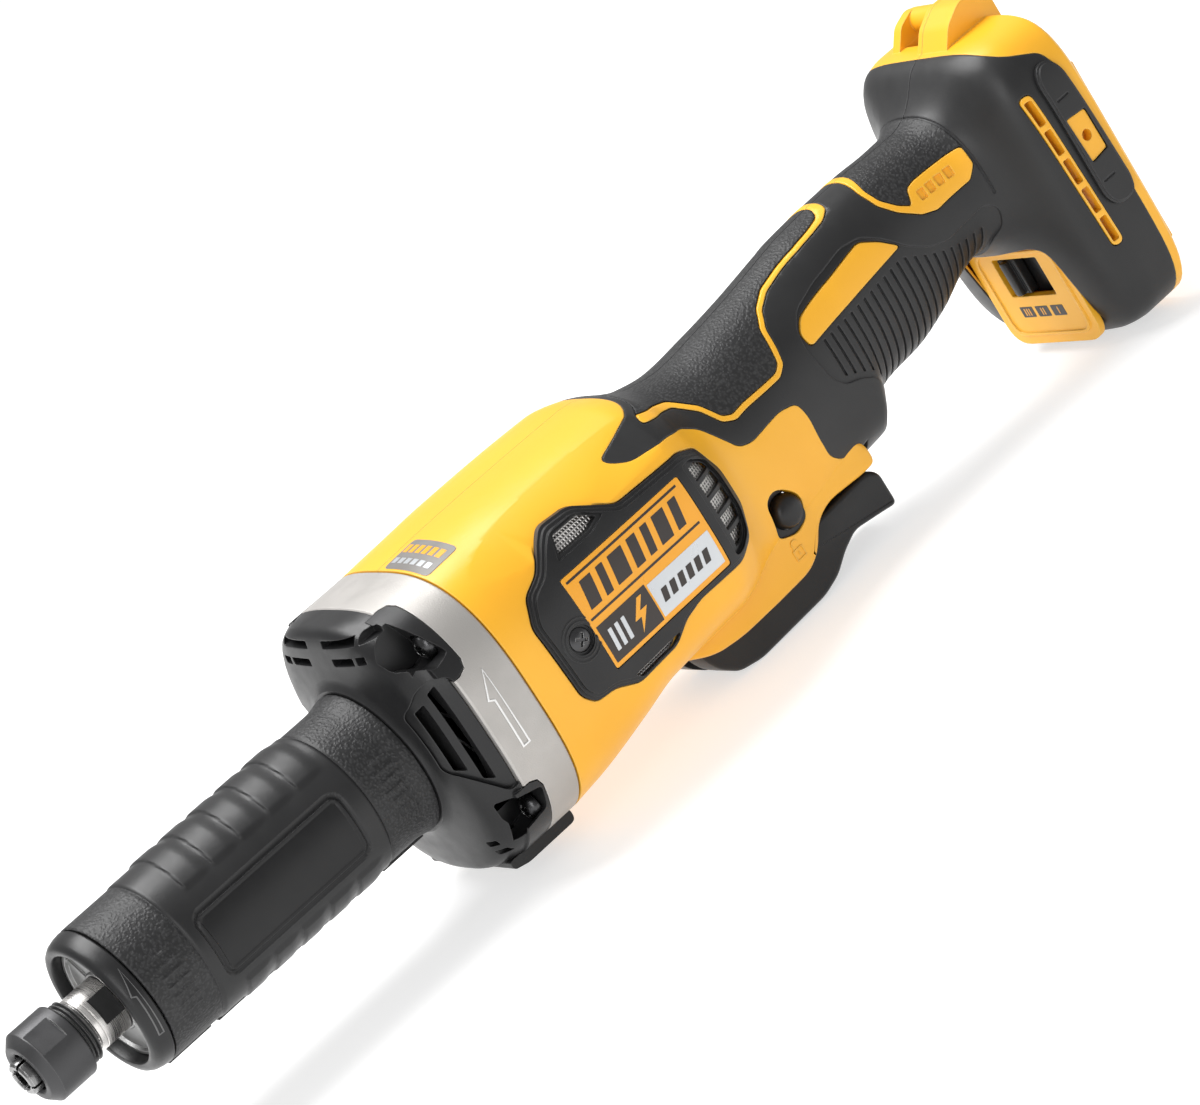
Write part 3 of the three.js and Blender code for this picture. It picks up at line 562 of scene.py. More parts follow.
# ---- front housing
# A glass-filled nylon bell that carries the barrel. Four ears reach back over the metal
# collar, each with a sunk pocket for its screw, and louvres let the fan's air out.
SCREW_PLACES = [(-29.6, 26.6), (-29.6, -26.6), (29.6, 26.6), (29.6, -26.6)]
MOTOR_SECTION = (40.5, -40.5, 40.5, 2.9)
FAN_CHAMBER, CLEARANCE = 34, 0.3
FAR = 60
BELL = [(96.6, 23.6, -23.6, 23.6, 2), (97.4, 24.4, -24.4, 24.4, 2), (98.0, 26.5, -26.5, 26.5, 2),
        (98.7, 30, -30, 28.6, 2.05), (99.6, 35.5, -35.5, 30.6, 2.3), (100.4, 38.4, -38.4, 31.7, 2.5),
        (101.4, 39.8, -39.8, 32.9, 2.65), (103, 40.4, -40.4, 34.6, 2.8), (106, 40.5, -40.5, 37.4, 2.9),
        (109.8, 40.5, -40.5, 40.2, 2.9)]


def flowing(stations, step):
    """Stations at an even spacing that run smoothly through the given ones."""
    slopes = [[(b[k] - a[k]) / (b[0] - a[0]) for k in range(1, 5)] for a, b in zip(stations, stations[1:])]
    turns = [slopes[0]]
    for before, after in zip(slopes, slopes[1:]):
        turns.append([2 * p * q / (p + q) if p * q > 0 else 0 for p, q in zip(before, after)])
    turns.append(slopes[-1])
    smooth = []
    for (a, b), leave, reach in zip(zip(stations, stations[1:]), turns, turns[1:]):
        width = b[0] - a[0]
        pieces = max(1, round(width / step))
        for piece in range(pieces):
            t = piece / pieces
            row = [a[0] + width * t]
            for k in range(1, 5):
                row.append((1 + 2 * t) * (1 - t) ** 2 * a[k] + t * (1 - t) ** 2 * width * leave[k - 1]
                           + t * t * (3 - 2 * t) * b[k] + t * t * (t - 1) * width * reach[k - 1])
            smooth.append(row)
    return smooth + [list(stations[-1])]


def unit_tube(rings, around):
    """A capped tube of unit radius, one ring at each whole step along the tool."""
    bm = bmesh.new()
    bmesh.ops.create_cone(bm, cap_ends=True, segments=around, radius1=1, radius2=1, depth=rings - 1)
    bmesh.ops.rotate(bm, verts=bm.verts, cent=(0, 0, 0), matrix=Matrix.Rotation(math.pi / 2, 3, "Y"))
    bmesh.ops.translate(bm, verts=bm.verts, vec=((rings - 1) / 2, 0, 0))
    sides = [edge for edge in bm.edges if abs(edge.verts[0].co.x - edge.verts[1].co.x) > 0.5]
    bmesh.ops.subdivide_edges(bm, edges=sides, cuts=rings - 2, use_grid_fill=True)
    return bm


def tube(stations, grow=0.0, step=1.5, around=128):
    """A closed solid through rounded sections of (x, top, bottom, half width, squareness)."""
    rows = flowing(stations, step)
    bm = unit_tube(len(rows), around)
    for vert in bm.verts:
        x, top, bottom, half, squareness = rows[round(vert.co.x)]
        angle = math.atan2(vert.co.z, vert.co.y)
        reach = (abs(math.cos(angle)) ** squareness + abs(math.sin(angle)) ** squareness) ** (-1 / squareness)
        vert.co = (x, (half + grow) * math.cos(angle) * reach,
                   (top + bottom) / 2 + ((top - bottom) / 2 + grow) * math.sin(angle) * reach)
    bmesh.ops.recalc_face_normals(bm, faces=bm.faces)
    return bm


def rod(radius, x0, x1, y, z, steps=48):
    bm = lathe([(0, x0), (radius, x0), (radius, x1), (0, x1)], steps)
    bmesh.ops.translate(bm, verts=bm.verts, vec=(0, y, z))
    return bm


def mirrored(shape):
    """The same shape on the tool's other side."""
    bmesh.ops.scale(shape, verts=shape.verts, vec=(1, -1, 1))
    bmesh.ops.reverse_faces(shape, faces=shape.faces)
    return shape


def both(shape):
    return joined([shape.copy(), mirrored(shape)])


def ear_blocks(margin, x0, x1):
    """The four corners that the ears fill, wider by a margin."""
    return joined([block(x0, x1, sy * (19.5 - margin), sy * FAR, sz * (17.5 - margin), sz * FAR, 3.5)
                   for sy in (1, -1) for sz in (1, -1)])


LOUVRE_OUTLINE = [(98.6, 14.5), (102.2, 19.8), (106.5, 21), (110, 19), (110.2, -15.5), (107.5, -16.6),
                  (98.4, -4)]
LOUVRE_HALF, VENT_HALF, CORNER_VENT_HALF = 1.15, 1.15, 0.9
EAR_END = 115.4
UPPER_POCKET = [(103.8, 38.4), (108.6, 38.4), (114.2, 24.0), (108.6, 22.6), (101.6, 26.4), (100.6, 32.6)]
LOWER_POCKET = [(102.6, -17.6), (106, -18.2), (115, -20.8), (114.4, -27.4), (106.1, -29), (103.2, -23)]
ears = machined(tube([(107, *MOTOR_SECTION), (EAR_END, *MOTOR_SECTION)]),
                ("INTERSECT", ear_blocks(0, 103, EAR_END)))
skid = prism([(103, -38), (103, -40.5), (108, -41.7), (125, -41.7), (126, -40.8), (126, -38)], -21, 21, 1.2)
upper_pocket, lower_pocket = (prism(outline, -FAR, -25.0, 1.2) for outline in (UPPER_POCKET, LOWER_POCKET))
pockets = both(machined(upper_pocket, ("UNION", lower_pocket)))
head_seats = joined([rod(4.4, 104, 113.9, y, z) for y, z in SCREW_PLACES])
screw_holes = joined([rod(2.6, 112, 132, y, z, 24) for y, z in SCREW_PLACES])
louvre_recess = cut(prism(LOUVRE_OUTLINE, -FAR, -20, 2), tube(BELL, grow=-1.5))
slots = joined([prism([(x - LOUVRE_HALF, bottom + 1.6), (x + LOUVRE_HALF, bottom), (x + LOUVRE_HALF, top),
                       (x - LOUVRE_HALF, top - 1.2)], -FAR, -24, 0.5)
                for x, bottom, top in ((101.4, -6.2, 15.4), (105.4, -11.6, 18.6))])
TOP_VENTS = ((36.4, -25, -20.2), (36.4, -19, -4), (31.2, -21.5, -17.4), (31.2, -16.2, -6))
top_vents = both(joined([block(90, 108, y0, y1, z - VENT_HALF, z + VENT_HALF, 0.4)
                         for z, y0, y1 in TOP_VENTS]))
corner_vents = joined([block(90, 108, -26, -22, z - CORNER_VENT_HALF, z + CORNER_VENT_HALF, 0.4)
                       for z in (-29.5, -33)])
bell = machined(tube(BELL, step=0.6), ("UNION", ears), ("UNION", skid))
bell = cut(bell, rod(FAN_CHAMBER, 106, 130, 0, 0, 96), rod(BARREL_FIT, 90, 110, 0, 0, 96), pockets,
           head_seats, screw_holes, both(louvre_recess), both(slots), top_vents, both(corner_vents))
add_piece("front_bell", bell, black_nylon, "casing", ["front_housing"])

# ---- housing screws
# Four button-head screws of blackened steel with six-lobed sockets, driven back through the
# ears and the collar into the body.
screw_steel = common_finish("screw_steel", (0.05, 0.05, 0.052), (0.08, 0.08, 0.082), (0.35, 0.35, 0.35),
                            0.28, metallic=0.95, grain=3000)


SEAT, SHANK_RADIUS, SCREW_END = 113.8, 2.1, 141
SOCKET_FRONT, SOCKET_FLOOR, SOCKET_REACH, LOBE_HALF = 109, 112.9, 1.95, 0.45


def screw(y, z):
    """A button head on its shank, with six lobes round the socket."""
    head = lathe([(0, 110.7), (1.6, 110.8), (2.9, 111.4), (3.8, 112.4), (4.0, 113.2), (4.0, SEAT),
                  (SHANK_RADIUS, SEAT), (SHANK_RADIUS, SCREW_END), (0, SCREW_END)], 48)
    lobes = [turn_about_spindle(block(SOCKET_FRONT, SOCKET_FLOOR, -LOBE_HALF, LOBE_HALF, -SOCKET_REACH,
                                      SOCKET_REACH), lobe * math.pi / 3) for lobe in range(3)]
    socket = machined(rod(1.35, SOCKET_FRONT, SOCKET_FLOOR, 0, 0, 24), *[("UNION", lobe) for lobe in lobes])
    whole = cut(head, socket)
    bmesh.ops.translate(whole, verts=whole.verts, vec=(0, y, z))
    return whole


for number, (y, z) in enumerate(SCREW_PLACES, 1):
    add_piece(f"housing_screw_{number}", screw(y, z), screw_steel, "casing",
              [f"front_screw_{number}"])

# ---- motor collar
# A cast metal ring between the bell and the body. Its face is fine blasted, its edges are
# slightly broken, and a half arrow for the turning direction is cast on each flank.
collar_metal = common_finish("blasted_collar", (0.46, 0.44, 0.42), (0.39, 0.375, 0.355), (0.66, 0.64, 0.62),
                             0.46, metallic=0.55, cloud=35, grain=2600, depth=0.00005, strength=0.5)
COLLAR = [(110.1, 40.1, -40.1, 40.1, 2.9), (110.6, *MOTOR_SECTION), (126.0, *MOTOR_SECTION),
          (126.6, 40.0, -40.0, 40.0, 2.9)]
flank_arrow = [(118.4, 15.4), (114.3, 7.4), (116.0, 6.4), (115.7, -8.6), (118.5, -8.6)]
cast_arrow = machined(outlined(flank_arrow, 0.5, -FAR, -20),
                      ("INTERSECT", tube([(112, *MOTOR_SECTION), (121, *MOTOR_SECTION)], grow=0.2)),
                      ("DIFFERENCE", tube([(111, *MOTOR_SECTION), (122, *MOTOR_SECTION)], grow=-0.6)))
skid_space = block(100, 130, -21.3, 21.3, -50, -37.7)
collar = cut(tube(COLLAR), rod(FAN_CHAMBER, 100, 130, 0, 0, 96),
             ear_blocks(CLEARANCE, 100, EAR_END + CLEARANCE), skid_space,
             joined([rod(2.6, 100, 130, y, z, 24) for y, z in SCREW_PLACES]), both(cast_arrow.copy()))
add_piece("cast_collar", collar, collar_metal, "casing", ["motor_collar"])
bright_cut = common_finish("bright_cut_metal", (0.80, 0.80, 0.79), (0.70, 0.70, 0.69), (0.9, 0.9, 0.9), 0.35,
                           metallic=0.4, cloud=90)
add_piece("collar_arrows", both(cast_arrow), bright_cut, "casing")

# ---- body shells
# Two injection-moulded halves in amber plastic: the motor body, the trigger guard, the foot's
# rim with the battery rails and the lanyard eye, and the bright lines that show through the
# rubber. They meet on the middle plane and are hollow.
yellow_shell = common_finish("amber_shell", (0.90, 0.45, 0.022), (0.84, 0.40, 0.016), (0.95, 0.60, 0.12),
                             0.36, cloud=25, grain=2400, depth=0.00003, strength=0.35, edge=0.0005)
BODY = [(126.9, *MOTOR_SECTION), (140, 41, -39, 40.3, 2.9), (158, 41.3, -35, 40, 3),
        (172, 41.3, -32, 39.7, 3), (198, 41, -31, 39, 2.9), (207, 39, -31, 36, 2.7),
        (213, 35.5, -31, 31.5, 2.5), (219, 32.8, -31, 28, 2.4), (231, 31, -31, 25, 2.3),
        (246, 32.2, -30, 22.5, 2.3), (260, 33.8, -27.5, 20.5, 2.3), (272, 35.6, -26.4, 19.5, 2.3),
        (277, 36.4, -26, 19.2, 2.3), (280, 36.8, -21, 18.9, 2.3), (282.5, 37.2, -17, 18.7, 2.3),
        (290, 37.8, -15.3, 18.4, 2.3), (301, 38.3, -14.6, 18.2, 2.3), (314, 38.5, -11.5, 18, 2.3),
        (326, 38, -6.5, 18, 2.3), (334, 38, -5, 19, 2.3), (340, 39.5, -8, 21.5, 2.5),
        (344.5, 42.5, -17, 26, 3), (347.5, 45.5, -30, 30.5, 3.6), (350.5, 48.3, -41, 34.5, 4.2),
        (355, 50, -45.2, 36.8, 4.8), (361, 50.5, -46, 37.5, 5), (373.4, 50.5, -46, 37.5, 5),
        (374.5, 49.6, -45.1, 36.6, 5)]
SKIN_OUTLINE = [(206.5, 70), (205.5, 39), (204.4, 37.4), (192, 34.4), (185.2, 33), (186, 31), (190.5, 28.4),
                (196, 27.8), (203, 27), (211, 24.4), (217.5, 19.6), (221.5, 13.5), (225, 8), (230, 6.2),
                (243, 6.8), (249.4, 5), (250.6, 0), (250.2, -7), (251, -14), (255, -18), (263, -21.6),
                (266.4, -23), (266.6, -42), (340, -70), (370.4, -70), (370.8, -34), (370.6, -11), (369.9, 16.7),
                (369.7, 33), (367.5, 39.8), (358, 44.8), (354.4, 48.6), (353.8, 70)]
VENT_OUTLINE = [(353.0, 33), (356.6, 33), (358.8, -18), (355.2, -18)]
PANEL_OUTLINE = [(-21, -43.8), (21, -43.8), (21, -9), (-21, -9)]
PANEL_FACE = 347.6
PLATE_CORNER = 7
LOCK_OUTLINE = [(222.2, -9.6), (226.4, -7.8), (231.2, -10.4), (235.4, -15.4), (235.6, -22.4),
                (229.6, -24.4), (222.8, -21.8)]
COVER_OUTLINE = [(153, 29.4), (157, 32), (167, 31.4), (178, 23.8), (202, 22.8), (209, 19.4), (213.4, 9.5),
                 (213.4, -2), (209, -9.4), (202, -12.4), (184, -12), (177, -13.8), (171.5, -18),
                 (156, -18.2), (148, -14), (141, -13.2), (137.8, -9), (136.6, 14), (140.5, 21), (147, 23.7)]
FILTER_OUTLINE = [(153, -9), (206.5, -9), (210.6, -4), (210.6, 9), (207, 17), (203, 20.6), (153, 21)]
INSERT_OUTLINE = [(361.2, 20.6), (368.4, 19.9), (368.6, 6.9), (362.0, 6.2)]
FILTER_PADS = [[(154.4, 23.2), (171.6, 23.2), (171.6, 26.0), (166.6, 29.7), (157, 29.7), (154.4, 27.6)],
               [(154.6, -14.2), (173.4, -14.2), (171.4, -16.6), (169.6, -17.4), (157.6, -17.6), (154.6, -16.4)]]
LINE_HALF = 0.75
LOWER_LINE = [(301, 60, 0.9), (299.6, 40, 0.9), (298.2, 37.6, 0.8), (294.5, 36.0, 0.45), (289.5, 35.3, 0.4),
              (283.9, 34.7, 0.4), (274.7, 33.4, 0.4), (266.2, 31.7, 0.45), (260.4, 29.2, 0.5),
              (256.3, 25.2, 0.65), (254.4, 19.6, LINE_HALF), (253.0, 15.9, LINE_HALF),
              (250.0, 14.2, LINE_HALF), (244, 14.3, LINE_HALF), (235.4, 14.7, LINE_HALF),
              (230.2, 14.5, LINE_HALF), (226.6, 16.4, LINE_HALF), (223.4, 22.4, LINE_HALF),
              (217.6, 28.0, LINE_HALF), (210.6, 30.9, 0.85), (202.4, 33.8, 1.1)]
UPPER_LINE = [(313.5, 60, 0.9), (312, 40, 0.9), (310, 37.4, 0.9), (308.8, 34.6, 0.75), (309.6, 30.2, 0.8),
              (313.0, 25.8, 0.9), (318.5, 21.6, 1.1)]
PATCH_OUTLINE = [(339.4, 28.6), (339.2, 22.8), (336.3, 19.4), (323.2, 18.6), (318, 20.5), (314.6, 23.8),
                 (317.4, 24.4), (319.4, 28.2), (322.5, 28.8)]
BADGE_OUTLINE = [(296.4, 26.0), (301.7, 22.6), (306.6, 17.8), (264.8, 13.4), (264.2, 17.8), (267.4, 21.0),
                 (272.6, 22.2)]


def ribbon(line):
    """The outline of a band along a line of (x, z, half width) points."""
    left, right = [], []
    for index, (x, z, half) in enumerate(line):
        before, after = line[max(0, index - 1)], line[min(len(line) - 1, index + 1)]
        length = math.dist(before[:2], after[:2])
        nx, nz = (after[1] - before[1]) / length, (before[0] - after[0]) / length
        left.append((x + nx * half, z + nz * half))
        right.append((x - nx * half, z - nz * half))
    return left + right[::-1]


def patch(outline, inner, outer, y0=-FAR, y1=FAR, corner=1.5, sections=BODY):
    """A piece of the body's wall between two offsets of its surface, inside a side outline."""
    return machined(prism(outline, y0, y1, corner), ("INTERSECT", tube(sections, grow=outer)),
                    ("DIFFERENCE", tube(sections, grow=inner)))


def drawn_front(outline, x0, x1, corner=0):
    """A front outline of (y, z) points drawn along the tool."""
    bm = prism(outline, x0, x1, corner)
    bmesh.ops.rotate(bm, verts=bm.verts, cent=(0, 0, 0), matrix=Matrix.Rotation(-math.pi / 2, 3, "Z"))
    bmesh.ops.scale(bm, verts=bm.verts, vec=(1, -1, 1))
    bmesh.ops.reverse_faces(bm, faces=bm.faces)
    return bm


def cross_rod(radius, y0, y1, x, z, steps=48):
    """A round bar across the tool."""
    bm = lathe([(0, y0), (radius, y0), (radius, y1), (0, y1)], steps)
    bmesh.ops.rotate(bm, verts=bm.verts, cent=(0, 0, 0), matrix=Matrix.Rotation(math.pi / 2, 3, "Z"))
    bmesh.ops.translate(bm, verts=bm.verts, vec=(x, 0, z))
    return bm


def drawn_plan(outline, z0, z1, corner=0):
    """A plan outline of (x, y) points drawn upwards."""
    bm = prism(outline, z0, z1, corner)
    bmesh.ops.rotate(bm, verts=bm.verts, cent=(0, 0, 0), matrix=Matrix.Rotation(math.pi / 2, 3, "X"))
    bmesh.ops.scale(bm, verts=bm.verts, vec=(1, -1, 1))
    bmesh.ops.reverse_faces(bm, faces=bm.faces)
    return bm


SHOULDER = [(120, 47), (127, 45.6), (146, 44.6), (165, 44.2), (200, 44.0), (212, 43), (216, 80), (120, 80)]


def shoulder_cuts():
    """What is planed off the motor body's two upper corners to leave a flat shoulder on each."""
    return [turn_about_spindle(prism(SHOULDER, -60, 60), side * math.pi / 4) for side in (1, -1)]


GUARD_FLANK = [(164, 22), (190, 23), (213, 22), (231, 20.2), (246, 17.8), (268, 15)]
guard_plan = drawn_plan(GUARD_FLANK + [(x, -y) for x, y in GUARD_FLANK[::-1]], -70, 20)
guard = prism([(168, -20), (176, -28.0), (187, -33.8), (198, -35.4), (227, -35.4), (233, -32.6), (238, -26.8),
               (245, -24.8), (261, -26.6), (266, -26.4), (265.4, -19), (252, -8), (190, -8)],
              -40, 40, 4)
guard = soften(machined(guard, ("INTERSECT", guard_plan)), 1.8, 50, 4, clamp=False)
lug_wedge = prism([(354.6, 48), (361, 55.5), (367.5, 58.8), (374, 58.8), (378.4, 54), (378.4, 44),
                   (360, 44)], -12, 2, 1.6)
lug_ear = prism([(358, 49), (364, 56), (370, 58), (375, 56.5), (376, 52), (376, 44), (360, 44)],
                13.5, 17, 1.6)
eye_bar = cross_rod(3.8, 1, 15, 371, 54)
eye_notch = cut(block(361.5, 382, 2.05, 13.45, 45.5, 62), eye_bar.copy())
RAIL_FRONT, RAIL_REAR, RAIL_REACH = 373, 378.5, 30
rails = both(block(RAIL_FRONT, RAIL_REAR, 26, 31, -RAIL_REACH, RAIL_REACH, 0.4))
lips = both(block(376, RAIL_REAR, 22, 27, -RAIL_REACH, RAIL_REACH, 0.4))
stop = drawn_front([(-22, 37), (22, 37), (22, 44), (-22, 44)], RAIL_FRONT, RAIL_REAR, 3)
MOTOR_WALL, HANDLE_WALL = 3.2, 4.8
hollow_rows = [(x if x > 127 else 125.5, top - wall, bottom + wall, half - wall, squareness)
               for x, top, bottom, half, squareness in BODY[:-2]
               for wall in [MOTOR_WALL if x < 210 else HANDLE_WALL]] + [(368, 45.7, -41.2, 32.7, 5)]
TRIGGER_SLOT = (187, 267.6, -13.5, 13.5, -60, -15)
lock_hole = prism(LOCK_OUTLINE, -FAR, FAR, 2.6)
terminal_window = block(360, 380, -18, 18, 3, 37, 1)
panel_seat = drawn_front(shifted(PANEL_OUTLINE, CLEARANCE), 330, PANEL_FACE + 2.6, PLATE_CORNER)
speed_window = block(345, 360, -13, 13, -29, -13)
filter_window = prism(shifted(FILTER_OUTLINE, 0.5), -FAR, FAR, 3)
VENT_LEAN, VENT_GAP, VENT_MIDDLE, VENT_WIDTH = 0.043, 4.1, 355.2, 1.2


def vent_gap(z):
    """One opening of the leaning vent slot, between two bars."""
    middle = VENT_MIDDLE + VENT_LEAN * (22.5 - z)
    upper, lower = middle - VENT_LEAN * VENT_GAP, middle + VENT_LEAN * VENT_GAP
    return prism([(upper - VENT_WIDTH, z + VENT_GAP), (upper + VENT_WIDTH, z + VENT_GAP),
                  (lower + VENT_WIDTH, z - VENT_GAP), (lower - VENT_WIDTH, z - VENT_GAP)], -FAR, -25, 0.6)


vent_gaps = both(joined([vent_gap(z) for z in (27.4, 17.4, 7.4, -2.6, -12.6)]))
cover_seat = patch(shifted(COVER_OUTLINE, CLEARANCE), -1, 3, corner=2, sections=BODY[:9])
tie_bosses = joined([rod(5.2, 127.2, 142, y, z, 24) for y, z in SCREW_PLACES])
rubber_space = patch(SKIN_OUTLINE, -2.3, 3, corner=2.2)
motor_bosses = machined(tie_bosses, ("INTERSECT", tube(BODY[:3], grow=-1)))
tie_holes = joined([rod(2.6, 120, 141.4, y, z, 24) for y, z in SCREW_PLACES])
inserts = both(cut(patch(INSERT_OUTLINE, -2.8, 1.2, -FAR, 0, 0.8), cross_rod(1.7, -FAR, 0, 364.9, 13.4, 32)))
filter_seats = [patch(shifted(pad, 0.2), -1.7, 3, corner=0.8) for pad in FILTER_PADS]
badge_cells = joined([patch([(x, 26.3), (x + 2.7, 26.2), (x + 2.4, 23.0), (x, 23.2)], -0.7, 1, corner=0.4)
                      for x in (320.8, 324.3, 327.8, 331.3)])
shell = machined(tube(BODY), ("DIFFERENCE", rubber_space),
                 ("UNION", patch(ribbon(LOWER_LINE), -2.8, 0.12, corner=1.2)),
                 ("UNION", patch(ribbon(UPPER_LINE), -2.8, 0.12, corner=1.2)),
                 ("UNION", patch(PATCH_OUTLINE, -2.8, 0.12, corner=1)),
                 ("UNION", patch(BADGE_OUTLINE, -2.8, -0.35, corner=1.6)),
                 ("UNION", patch(VENT_OUTLINE, -2.8, 0.2, corner=2)),
                 *[("UNION", part) for part in (guard, lug_wedge, lug_ear, eye_bar, rails, lips, stop)],
                 ("DIFFERENCE", tube(hollow_rows, around=96)), ("UNION", motor_bosses))
shell = cut(shell, tie_holes, block(*TRIGGER_SLOT), lock_hole, terminal_window, eye_notch,
            panel_seat.copy(), speed_window, filter_window, vent_gaps, cover_seat)
shell = cut(machined(shell, ("UNION", inserts)), *filter_seats, badge_cells)
shell = cut(shell, *shoulder_cuts())
for side, y0, y1 in (("left", -80, -0.08), ("right", 0.08, 80)):
    half = machined(shell.copy(), ("INTERSECT", block(100, 400, y0, y1, -80, 80)))
    add_piece(f"body_shell_{side}", half, yellow_shell, "casing", [f"housing_{side}"])
shell.free()


# ---- handle rubber
# Soft charcoal rubber moulded over the handle and the foot, one skin on each shell. The top of
# the handle is pebbled, the flanks are smooth, and the finger side is sunk and ribbed.
smooth_rubber = common_finish("smooth_rubber", (0.015, 0.015, 0.0155), (0.021, 0.021, 0.0215),
                              (0.06, 0.06, 0.062), 0.40, cloud=40, grain=3000, depth=0.00003,
                              edge=0.0007, shine=0.34)
pebbled_rubber = pebbled_finish_with_painted_shade("pebbled_rubber", (0.012, 0.012, 0.0125), (0.034, 0.034, 0.035), 0.50)
FRONT_SEAM = [(203.4, 34.8, 0.22), (206.2, 35.8, 0.22), (208.2, 38.2, 0.22), (209, 60, 0.22)]
PEBBLED_FRONT = [(x, z) for x, z, half in LOWER_LINE + FRONT_SEAM]
PEBBLED_REAR = [(x, z) for x, z, half in UPPER_LINE] + [(319.4, 28.2), (339.8, 28.6), (339.8, 60)]
SUNK_OUTLINE = [(262.4, 14), (264, 19.5), (268.2, 23.4), (278.7, 26.1), (291.1, 28.1), (297.9, 26.9),
                (303.6, 22.2), (307.8, 17.0), (314.5, 11.8), (321.6, 9.4), (332.6, 10.2), (336.4, 11.0),
                (339.4, 8), (339, 2), (336, -1), (336, -40), (281.5, -40), (280.5, -12), (278.6, -6.9),
                (273, -3.4), (267.6, -1.6), (264.4, 2.6), (263.4, 8)]
RIB_OUTLINE = [(267.2, 12.2), (280, 12.7), (293.2, 13.7), (305, 14.9), (312.7, 10.5), (319, 7.6),
               (326.5, 5.6), (335.4, 5.0), (335.4, -40), (284, -40), (283, -10.5), (280, -5.4),
               (274, -1.8), (269, 0.2), (267.2, 3)]
FIRST_GROOVE, GROOVES, RIB_PITCH, RIB_GROOVE = 269.6, 22, 3.05, 0.45


def within(outline, x, z):
    """Whether a point lies inside a side outline."""
    crossings = 0
    for (ax, az), (bx, bz) in zip(outline, outline[1:] + outline[:1]):
        if (az > z) != (bz > z) and x < ax + (bx - ax) * (z - az) / (bz - az):
            crossings += 1
    return crossings % 2 == 1


groove_rows = [FIRST_GROOVE + groove * RIB_PITCH for groove in range(GROOVES)]
grooves = joined([block(x - RIB_GROOVE, x + RIB_GROOVE, -FAR, FAR, -45, 30) for x in groove_rows])
rib_grooves = machined(grooves, ("INTERSECT", prism(RIB_OUTLINE, -FAR - 1, FAR + 1, 1.5)),
                       ("DIFFERENCE", tube(BODY, grow=-1.55)))
saddle_groove = joined([cut(block(339.7, 340.4, -FAR, FAR, 12, 60), tube(BODY, grow=-0.5)),
                        cut(prism(ribbon(FRONT_SEAM), -FAR, FAR), tube(BODY, grow=-0.5))])
openings = [prism(shifted(outline, CLEARANCE), -FAR, FAR, corner)
            for outline, corner in ((ribbon(LOWER_LINE), 1.2), (ribbon(UPPER_LINE), 1.2), (PATCH_OUTLINE, 1),
                                    (BADGE_OUTLINE, 1.6), (VENT_OUTLINE, 2), (INSERT_OUTLINE, 0.8))]
skin = machined(tube(BODY), ("INTERSECT", prism(shifted(SKIN_OUTLINE, -0.15), -FAR - 1, FAR + 1, 2.2)))
skin = cut(skin, patch(SUNK_OUTLINE, -0.75, 3, corner=2), rib_grooves, saddle_groove, *openings,
           panel_seat, drawn_front(shifted(PANEL_OUTLINE, -1.5), 330, 360, PLATE_CORNER),
           tube(BODY, grow=-2.05))
skin = cut(skin, *shoulder_cuts(), block(*TRIGGER_SLOT))
for side, y0, y1 in (("left", -80, -0.12), ("right", 0.12, 80)):
    half = machined(skin.copy(), ("INTERSECT", block(100, 400, y0, y1, -80, 80)))
    for face in half.faces:
        x, y, z = face.calc_center_median()
        face.material_index = 1 if within(PEBBLED_FRONT, x, z) or within(PEBBLED_REAR, x, z) else 0
    add_piece(f"rubber_skin_{side}", half, [smooth_rubber, pebbled_rubber], "casing",
              [f"grip_skin_{side}"], crease=40)
skin.free()

# ---- intake covers
# A bolted black nylon frame on each side of the motor, with a stepped rim, an air slot above
# and below, and a curved row of cells at the back. A woven steel mesh lies behind it.
COVER_STEPS = [(0, 0.45), (-0.8, 1.05), (-1.7, 1.75)]
LABEL_OUTLINE = [(150.4, -9.6), (196.4, -9.6), (196.4, 19.2), (150.4, 19.2)]
UPPER_SLOT = [(155, 24.0), (166.4, 24.0), (170.8, 25.4), (166.2, 28.9), (157.6, 28.9)]
LOWER_SLOT = [(154.2, -14.7), (173, -14.4), (173, -16.0), (170.4, -17.3), (157.4, -17.5)]
CELL_CHANNEL = [(199.4, 20.2), (203.5, 19.8), (208.6, 16.2), (210.6, 10), (210.6, -1.2), (207.6, -7.2),
                (203, -9.6), (199.4, -9.6)]
CELL_MIDDLE, CELL_PITCH, CELL_HALF = 4.9, 5.4, 2.1
COVER_SCREW = (146.0, 3.4)
MOTOR_BODY = BODY[:9]
cover = patch(COVER_OUTLINE, -0.7, COVER_STEPS[0][1], -FAR, 0, 2, MOTOR_BODY)
for inset, height in COVER_STEPS[1:]:
    step = patch(shifted(COVER_OUTLINE, inset), -0.6, height, -FAR, 0, 2, MOTOR_BODY)
    cover = machined(cover, ("UNION", step))
cell_rows = [CELL_MIDDLE + cell * CELL_PITCH for cell in range(-3, 4)]
cells = machined(joined([block(201.6, 212, -FAR, 0, z - CELL_HALF, z + CELL_HALF) for z in cell_rows]),
                 ("INTERSECT", prism(shifted(CELL_CHANNEL, -0.9), -FAR - 1, 1, 1.5)))
cover = cut(cover, patch(shifted(LABEL_OUTLINE, 0.25), 1.1, 3, -FAR, 0, 0.8, MOTOR_BODY),
            prism(UPPER_SLOT, -FAR, 0, 0.8), prism(LOWER_SLOT, -FAR, 0, 0.8),
            patch(shifted(UPPER_SLOT, 0.9), 1.2, 3, -FAR, 0, 1, MOTOR_BODY),
            patch(CELL_CHANNEL, 0.5, 3, -FAR, 0, 1.5, MOTOR_BODY), cells,
            cross_rod(4.1, -FAR, -41.0, *COVER_SCREW), cross_rod(2.2, -FAR, 0, *COVER_SCREW))
